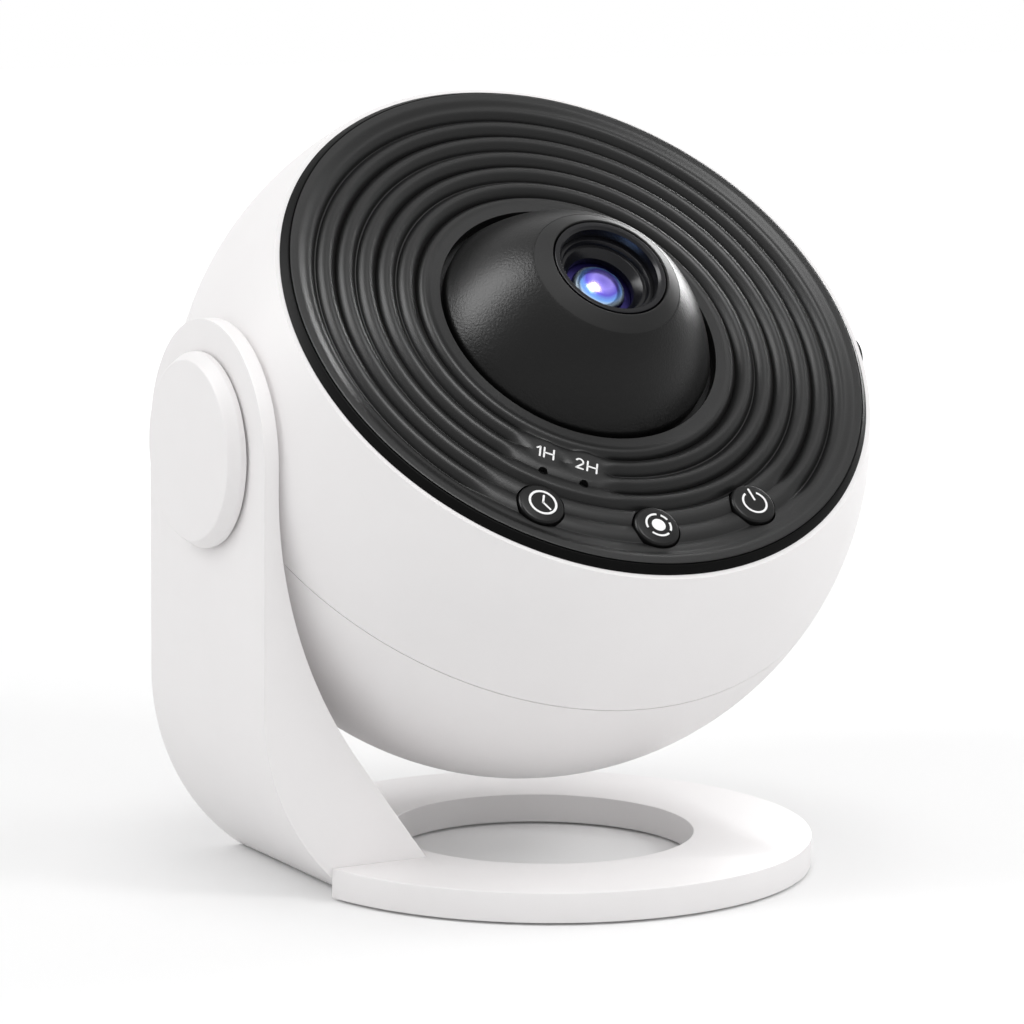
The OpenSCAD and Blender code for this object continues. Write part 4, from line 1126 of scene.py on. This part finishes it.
@dataclass
class RippledFace:
    """Charcoal face plate with concentric ripples, its black bezel and its white print.

    The ripples fade into a smooth field round the buttons and the timer marks.
    """

    hole_r: float = 28.8
    hole_bevel: Point = (0.06, 0.08)
    plate_r: float = 57.76
    lip_r: float = 59.6
    under_z: float = 30.2
    lip_under_z: float = 32.65
    lip_z: float = 33.85
    lip_edge: float = 0.05
    lip_flat_r: float = 58.3
    trough_z: float = 32.2
    ripple_h: float = 0.9
    extra_depth: float = 0.8
    ripple_in: float = 31.8
    ripple_out: float = 56.41
    ripple_count: int = 6
    crest_power: float = 0.85
    valley_shift: float = 0.45
    field_drop: float = 0.25
    land_r: float = 30.6
    land_z: float = 32.65
    fine_step: float = 0.2
    steps: int = 320
    crease: float = 40.0
    top_slack: float = 0.01
    edge_strip: float = 0.1
    button_r: float = 50.56
    button_hole_r: float = 4.9
    button_angles: tuple[float, float, float] = (-121.5, -94.8, -68.1)
    light_r: float = 41.66
    light_hole_r: float = 0.95
    light_angles: Point = (-122.7, -111.3)
    cutter_reach: float = 2.0
    button_field: SmoothField = SmoothField((-135.0, -55.0), 9.0, (46.2, 70.0), 2.4, 0.68)
    mark_field: SmoothField = SmoothField((-133.0, -103.0), 6.0, (33.2, 44.2), 2.2, 0.75)
    marks: TimerMarks = field(default_factory=TimerMarks)
    bezel_r: float = 61.36
    bezel_plug_r: float = 59.36
    bezel_in_r: float = 57.96
    bezel_z: float = 33.9
    rim_z: float = 32.2
    rim_round: float = 0.1
    bezel_top_round: float = 0.25
    bezel_top_gap: float = 0.08
    bezel_wall_gap: float = 0.02
    bezel_wall_drop: float = 0.4
    bezel_floor_gap: float = 0.05

    def pitch(self) -> float:
        """Gives the distance from one ripple to the next."""
        return (self.ripple_out - self.ripple_in) / self.ripple_count

    def first_valley(self) -> float:
        """Gives the radius of the outermost valley."""
        return self.ripple_out - self.pitch() / 2 - self.valley_shift

    def wave(self, radius: float) -> float:
        """Gives the ripples' height, 0 in a sharp valley and 1 on a rounded crest.

        Args:
            radius: distance from the lens axis.

        Returns:
            The height as a share of the ripple's own.
        """
        return abs(math.sin(math.pi * (self.first_valley() - radius) / self.pitch())) ** self.crest_power

    def calm(self, radius: float, angle: float) -> float:
        """Says how much of the ripples is left at a place.

        Args:
            radius: distance from the lens axis.
            angle: direction in degrees.

        Returns:
            1 for full ripples, 0 for the smooth field.
        """
        left = 1.0 - self.marks.smoothness(radius, angle)
        for smooth in (self.button_field, self.mark_field):
            left *= 1.0 - smooth.strength(radius, angle)
        return left

    def relief(self, radius: float, angle: float = 0.0) -> float:
        """Gives the face's height at a place.

        Args:
            radius: distance from the lens axis.
            angle: direction in degrees.

        Returns:
            The height in the ball's frame.
        """
        calm = self.calm(radius, angle)
        smooth_z = self.trough_z + self.ripple_h - self.ripple_h * self.field_drop * (1 - calm)
        depth = (self.ripple_h + self.extra_depth) * calm
        rippled = smooth_z - depth * (1 - self.wave(radius))
        last_crest = self.first_valley() + self.pitch() / 2
        if radius > last_crest:
            share = ease((radius - last_crest) / (self.lip_flat_r - last_crest))
            return smooth_z + (self.lip_z - smooth_z) * share
        last_valley = self.first_valley() - (self.ripple_count - 1) * self.pitch()
        if radius < last_valley:
            share = ease((radius - self.land_r) / (last_valley - self.land_r))
            return self.land_z + (rippled - self.land_z) * share
        return rippled

    def build(self) -> None:
        """Makes the plate, the bezel and the timer marks."""
        self.build_plate()
        self.build_bezel()
        self.marks.build([self.relief(self.marks.radius, at) for at in self.marks.angles])

    def build_plate(self) -> None:
        """Turns the plate, lets its ripples fade and cuts its holes."""
        count = round((self.lip_r - self.hole_r) / self.fine_step)
        radii = [self.lip_r - (self.lip_r - self.hole_r) * i / count for i in range(1, count)]
        hole_z = self.relief(self.hole_r)
        outline = [(self.hole_r, self.under_z), (self.plate_r, self.under_z),
                   (self.plate_r, self.lip_under_z), (self.lip_r, self.lip_under_z),
                   (self.lip_r, self.lip_z - self.lip_edge)]
        outline += [(r, self.relief(r)) for r in radii]
        outline += [(self.hole_r + self.hole_bevel[0], hole_z), (self.hole_r, hole_z - self.hole_bevel[1]),
                    (self.hole_r, self.under_z)]
        plate = lathe("rippled_face_plate", outline, steps=self.steps, smooth_deg=self.crease)
        self.fade_ripples(plate)
        holes = [(self.button_r, a, self.button_hole_r) for a in self.button_angles]
        holes += [(self.light_r, a, self.light_hole_r) for a in self.light_angles]
        cut_away(plate, [self.plug(*hole) for hole in holes])
        bpy.ops.object.shade_smooth_by_angle(angle=math.radians(self.crease))
        settle(plate, BALL)
        mount(plate, Body.HEAD, "charcoal_plastic", CHARCOAL_ABS, "face_plate")

    def fade_ripples(self, plate: bpy.types.Object) -> None:
        """Brings the turned plate's rippled points to their own heights.

        Args:
            plate: the plate, still in the ball's own frame.
        """
        lowest = (self.trough_z - self.extra_depth - self.top_slack) * MM
        inner, outer = self.hole_r + self.edge_strip, self.plate_r - self.edge_strip
        for vertex in plate.data.vertices:
            radius = math.hypot(vertex.co.x, vertex.co.y) / MM
            if vertex.co.z > lowest and inner < radius < outer:
                angle = math.degrees(math.atan2(vertex.co.y, vertex.co.x))
                vertex.co.z = self.relief(radius, angle) * MM

    def plug(self, radius: float, angle: float, hole_r: float) -> bpy.types.Object:
        """Makes the cutter of one hole.

        Args:
            radius: the hole's distance from the lens axis.
            angle: its direction in degrees.
            hole_r: its own radius.

        Returns:
            The cutter, in the ball's own frame.
        """
        low, high = self.under_z - self.cutter_reach, self.bezel_z + self.cutter_reach
        plug = lathe("plug", [(0.0, low), (hole_r, low), (hole_r, high), (0.0, high)], steps=64)
        settle(plug, Matrix.Translation(polar(radius, angle) * MM))
        return plug

    def build_bezel(self) -> None:
        """Turns the black chamfered ring round the plate."""
        wall_r, floor_z = self.lip_r + self.bezel_wall_gap, self.lip_under_z - self.bezel_floor_gap
        outline = rounded([
            (self.bezel_in_r, self.under_z), (self.bezel_plug_r, self.under_z),
            (self.bezel_plug_r, self.rim_z), (self.bezel_r, self.rim_z, self.rim_round),
            (self.lip_r + self.bezel_top_gap, self.bezel_z, self.bezel_top_round),
            (wall_r, self.bezel_z - self.bezel_wall_drop), (wall_r, floor_z),
            (self.bezel_in_r, floor_z), (self.bezel_in_r, self.under_z)])
        bezel = lathe("bezel_band", outline, BALL, steps=256)
        mount(bezel, Body.HEAD, "black_plastic", BEZEL_ABS, "bezel_ring")


# ---- focus cone and lens stack ----


@dataclass
class FocusCone:
    """Leather-grained cone that turns to focus, with a dull nose."""

    flange_r: float = 30.0
    flange_low: float = 28.7
    flange_top: float = 29.9
    foot_r: float = 27.65
    foot_z: float = 32.4
    shoulder_r: float = 15.2
    shoulder_z: float = 47.4
    swell: float = 1.2
    facets: int = 28
    grip_seam: Point = (0.1, 0.06)
    grip_neck: Point = (0.4, 1.0)
    inner_r: float = 25.957
    inner_z: float = 30.995
    hub_r: float = 15.2
    hub_meet_z: float = 43.955
    nose_r: float = 11.8
    nose_z: float = 49.5
    nose_round: float = 0.25
    nose_seam: Point = (0.12, 0.02)
    nose_neck: Point = (0.5, 1.0)
    nose_drop: float = 0.1
    bore_r: float = 13.05
    bore_step_z: float = 44.3
    channel_r: float = 14.4
    channel: Point = (33.2, 38.8)

    def build(self) -> None:
        """Makes the cone's grip and its nose ring."""
        self.build_grip()
        self.build_nose()

    def flank(self) -> list[Point]:
        """Gives the cone's slightly swollen side, from its foot to its shoulder."""
        run, rise = self.foot_r - self.shoulder_r, self.shoulder_z - self.foot_z
        side = math.hypot(run, rise)
        points = []
        for i in range(self.facets + 1):
            share = i / self.facets
            bow = 4 * self.swell * share * (1 - share)
            points.append((self.foot_r - run * share + bow * rise / side,
                           self.foot_z + rise * share + bow * run / side))
        return points

    def build_grip(self) -> None:
        """Turns the grained cone with its hidden flange."""
        outline = [(self.inner_r, self.flange_low), (self.flange_r, self.flange_low),
                   (self.flange_r, self.flange_top), (self.foot_r, self.flange_top)]
        outline += self.flank()
        outline += [(self.shoulder_r - self.grip_seam[0], self.shoulder_z + self.grip_seam[1]),
                    (self.hub_r - self.grip_neck[0], self.shoulder_z - self.grip_neck[1]),
                    (self.hub_r, self.hub_meet_z), (self.inner_r, self.inner_z),
                    (self.inner_r, self.flange_low)]
        cone = lathe("focus_cone_grip", outline, BALL, steps=256)
        mount(cone, Body.FOCUS, "black_plastic", GRAINED_ABS, "focus_cone")

    def build_nose(self) -> None:
        """Turns the dull nose ring and the hub that carries it."""
        outline = rounded([
            (self.bore_r, self.flange_low), (self.hub_r, self.flange_low),
            (self.hub_r, self.hub_meet_z - self.nose_drop),
            (self.hub_r - self.nose_neck[0], self.shoulder_z - self.nose_neck[1]),
            (self.shoulder_r - self.nose_seam[0], self.shoulder_z + self.nose_seam[1]),
            (self.nose_r, self.nose_z, self.nose_round), (self.nose_r, self.bore_step_z),
            (self.bore_r, self.bore_step_z), (self.bore_r, self.channel[1]),
            (self.channel_r, self.channel[1]), (self.channel_r, self.channel[0]),
            (self.bore_r, self.channel[0]), (self.bore_r, self.flange_low)])
        ring = lathe("focus_cone_nose", outline, BALL, steps=192)
        mount(ring, Body.FOCUS, "black_plastic", BLASTED_ABS)


@dataclass
class LensStack:
    """Barrel, retaining ring and coated front lens."""

    barrel_r: float = 11.45
    barrel_low: float = 22.8
    barrel_top: float = 49.3
    barrel_round: float = 0.18
    rear_bore_r: float = 9.75
    rear_seat: float = 30.8
    rear_seat_rise: float = 0.6
    stop_r: float = 6.7
    front_stop: float = 39.8
    front_seat: float = 41.0
    front_bore_r: float = 7.65
    mouth_r: float = 10.0
    mouth_bevel: float = 0.5
    step_round: float = 0.06
    retainer_z: float = 42.7
    retainer_top: float = 46.7
    retainer_gap: Point = (0.02, 0.1)
    retainer_lip: float = 0.34
    retainer_in_r: float = 6.9
    retainer_steps: tuple[Point, ...] = ((9.1, 0.0), (8.8, 0.6), (8.8, 1.2), (8.2, 1.2))
    retainer_floor: float = 1.2
    lens_r: float = 7.6
    lens_edge: float = 1.3
    lens_bevel: float = 0.1
    dome_r: float = 5.5
    dome_h: float = 3.0
    back_h: float = 1.0
    facets: int = 24

    def build(self) -> None:
        """Makes the three pieces."""
        self.build_barrel()
        self.build_retainer()
        self.build_lens()

    def build_barrel(self) -> None:
        """Turns the barrel."""
        outline = rounded([
            (self.rear_bore_r, self.barrel_low), (self.barrel_r, self.barrel_low),
            (self.barrel_r, self.barrel_top, self.barrel_round),
            (self.mouth_r + self.mouth_bevel, self.barrel_top, self.step_round),
            (self.mouth_r, self.barrel_top - self.mouth_bevel, self.step_round),
            (self.mouth_r, self.retainer_z), (self.front_bore_r, self.retainer_z),
            (self.front_bore_r, self.front_seat), (self.stop_r, self.front_stop),
            (self.stop_r, self.rear_seat + self.rear_seat_rise),
            (self.rear_bore_r, self.rear_seat), (self.rear_bore_r, self.barrel_low)])
        barrel = lathe("lens_barrel_tube", outline, BALL, steps=192)
        mount(barrel, Body.BARREL, "black_plastic", LENS_RING_PAINTED_REFLECTION, "lens_barrel")

    def build_retainer(self) -> None:
        """Turns the stepped ring that holds the front lens."""
        top, base = self.retainer_top, self.retainer_z
        outer, plug_r = self.mouth_r - self.retainer_gap[0], self.front_bore_r - self.retainer_gap[1]
        steps = [(radius, top - drop, self.step_round) for radius, drop in self.retainer_steps]
        outline = rounded([
            (self.retainer_in_r, base), (plug_r, base - self.retainer_lip), (plug_r, base), (outer, base),
            (outer, top, self.step_round), *steps,
            (self.retainer_in_r, base + self.retainer_floor, self.step_round), (self.retainer_in_r, base)])
        ring = lathe("lens_retaining_ring", outline, BALL, steps=192)
        mount(ring, Body.BARREL, "black_plastic", LENS_RING_PAINTED_REFLECTION, "lens_retainer")

    def build_lens(self) -> None:
        """Grinds the front lens: a flat rim with a domed middle."""
        top = self.front_seat + self.lens_edge
        shares = [i / self.facets for i in range(self.facets + 1)]
        back = [(self.lens_r * share, self.front_seat - self.back_h * (1 - share ** 2)) for share in shares]
        turns = [math.pi / 2 * share for share in shares[:-1]]
        dome = [(self.dome_r * math.cos(turn), top + self.dome_h * math.sin(turn)) for turn in turns]
        rim = [(self.lens_r, top - self.lens_bevel), (self.lens_r - self.lens_bevel, top)]
        lens = lathe("front_lens_glass", back + rim + dome + [(0.0, top + self.dome_h)], BALL, steps=128)
        mount(lens, Body.BARREL, "lens_glass", LENS_GLASS_PAINTED_GLINT, "front_lens")


# ---- push buttons and their signs ----


@dataclass
class PushButton:
    """One satin button with a white sign printed on it."""

    name: str
    body: Body
    circle_r: float
    angle: float
    cap_r: float = 4.55
    collar_r: float = 5.3
    collar_low: float = 28.9
    collar_top: float = 29.9
    top_z: float = 33.6
    dome: float = 0.1
    edge: float = 0.6
    edge_drop: float = 0.06
    crown_r: float = 2.5025
    crown_rise: float = 0.075
    crown_round: float = 2.0
    ink_sink: float = 0.02
    sign_rise: float = 0.13
    sign_shift: Point = (0.2, 0.1)

    def place(self) -> Matrix:
        """Gives the button's place on the ball."""
        return BALL @ Matrix.Translation(polar(self.circle_r, self.angle) * MM)

    def build(self) -> None:
        """Turns the button and prints its sign."""
        outline = rounded([
            (0.0, self.collar_low), (self.collar_r, self.collar_low), (self.collar_r, self.collar_top),
            (self.cap_r, self.collar_top), (self.cap_r, self.top_z - self.edge_drop, self.edge),
            (self.crown_r, self.top_z + self.crown_rise, self.crown_round),
            (0.0, self.top_z + self.dome)], arc_steps=8)
        cap = lathe(self.name + "_cap", outline, self.place(), steps=96, smooth_deg=40)
        mount(cap, self.body, "black_plastic", KEY_ABS, self.name)
        sign = join_strokes(self.name + "_sign", self.sign(), self.place() @ Matrix.Translation(
            Vector((self.sign_shift[0], self.sign_shift[1], 0)) * MM))
        mount(sign, self.body, "white_plastic", WHITE_INK)

    def sign(self) -> list[bpy.types.Object]:
        """Makes the strokes of the button's sign, round the button's own axis."""
        raise NotImplementedError

    def ring(self, radius: float, stroke: float, start: float = 0.0,
             sweep: float = FULL_TURN) -> bpy.types.Object:
        """Makes a ring or an arc of the sign at its height."""
        low, high = self.top_z - self.ink_sink, self.top_z + self.sign_rise
        return ring_stroke(radius, stroke, low, high, start, sweep)

    def bar(self, start: Point, turn: float, length: float, stroke: float) -> bpy.types.Object:
        """Makes a straight stroke of the sign at its height."""
        run = polar(length, turn)
        end = (start[0] + run.x, start[1] + run.y)
        return bar_stroke(start, end, stroke, self.top_z - self.ink_sink, self.top_z + self.sign_rise)


@dataclass
class TimerButton(PushButton):
    """The button with a clock."""

    ring_r: float = 2.635
    stroke: float = 0.45
    hand_stroke: float = 0.405
    hands: tuple[Point, ...] = ((61.6, 1.68), (-63.2, 1.93))

    def sign(self) -> list[bpy.types.Object]:
        """Makes the clock's ring and hands."""
        hands = [self.bar((0.0, 0.0), turn, reach, self.hand_stroke) for turn, reach in self.hands]
        return [self.ring(self.ring_r, self.stroke)] + hands


@dataclass
class LightButton(PushButton):
    """The button with a lamp: a dot in a broken ring."""

    dot_r: float = 1.4
    ring_r: float = 2.5
    stroke: float = 0.42
    arcs: tuple[Point, ...] = ((78.0, 110.0), (24.0, 34.0), (-38.0, 45.0), (-143.0, 86.0))

    def sign(self) -> list[bpy.types.Object]:
        """Makes the dot and the arcs."""
        arcs = [self.ring(self.ring_r, self.stroke, start, sweep) for start, sweep in self.arcs]
        return [self.ring(self.dot_r / 2, self.dot_r)] + arcs


@dataclass
class PowerButton(PushButton):
    """The button with the usual sign for power: an open ring and a bar."""

    ring_r: float = 2.44
    stroke: float = 0.42
    gap: Point = (60.0, 120.0)
    bar_start: Point = (0.184, 0.602)
    bar_turn: float = 96.6
    bar_length: float = 2.5

    def sign(self) -> list[bpy.types.Object]:
        """Makes the open ring and the bar."""
        sweep = FULL_TURN - (self.gap[1] - self.gap[0])
        return [self.ring(self.ring_r, self.stroke, self.gap[1], sweep),
                self.bar(self.bar_start, self.bar_turn, self.bar_length, self.stroke)]


# ---- the film tray's knob ----


@dataclass
class TrayKnob:
    """The small black knob that pulls the film tray."""

    height: float = 16.2
    seat_x: float = 67.2
    neck_r: float = 1.7
    neck_round: float = 0.3
    disc_r: float = 5.0
    disc: Point = (68.9, 71.89)
    edge: float = 0.6

    def build(self) -> None:
        """Turns the knob."""
        low, high = self.disc
        outline = rounded([
            (0.0, self.seat_x), (self.neck_r, self.seat_x), (self.neck_r, low, self.neck_round),
            (self.disc_r, low, self.edge), (self.disc_r, high, self.edge), (0.0, high)])
        on_axis = Matrix.Translation((0, 0, self.height * MM))
        across = BALL @ on_axis @ Matrix.Rotation(math.radians(90), 4, "Y")
        knob = lathe("tray_pull_knob", outline, across, steps=96)
        mount(knob, Body.TRAY, "black_plastic", KEY_ABS, "tray_knob")


def main() -> None:
    """Builds the studio and every sub-assembly in order."""
    logging.basicConfig(level=logging.INFO, format="%(message)s")
    Camera().build()
    Studio().build()
    CarriedPieces().build()
    Stand().build()
    face = RippledFace()
    face.build()
    FocusCone().build()
    LensStack().build()
    timer_at, light_at, power_at = face.button_angles
    TimerButton("timer_button", Body.TIMER, face.button_r, timer_at).build()
    LightButton("light_button", Body.LIGHT, face.button_r, light_at).build()
    PowerButton("power_button", Body.POWER, face.button_r, power_at).build()
    TrayKnob().build()


if __name__ == "__main__":
    main()
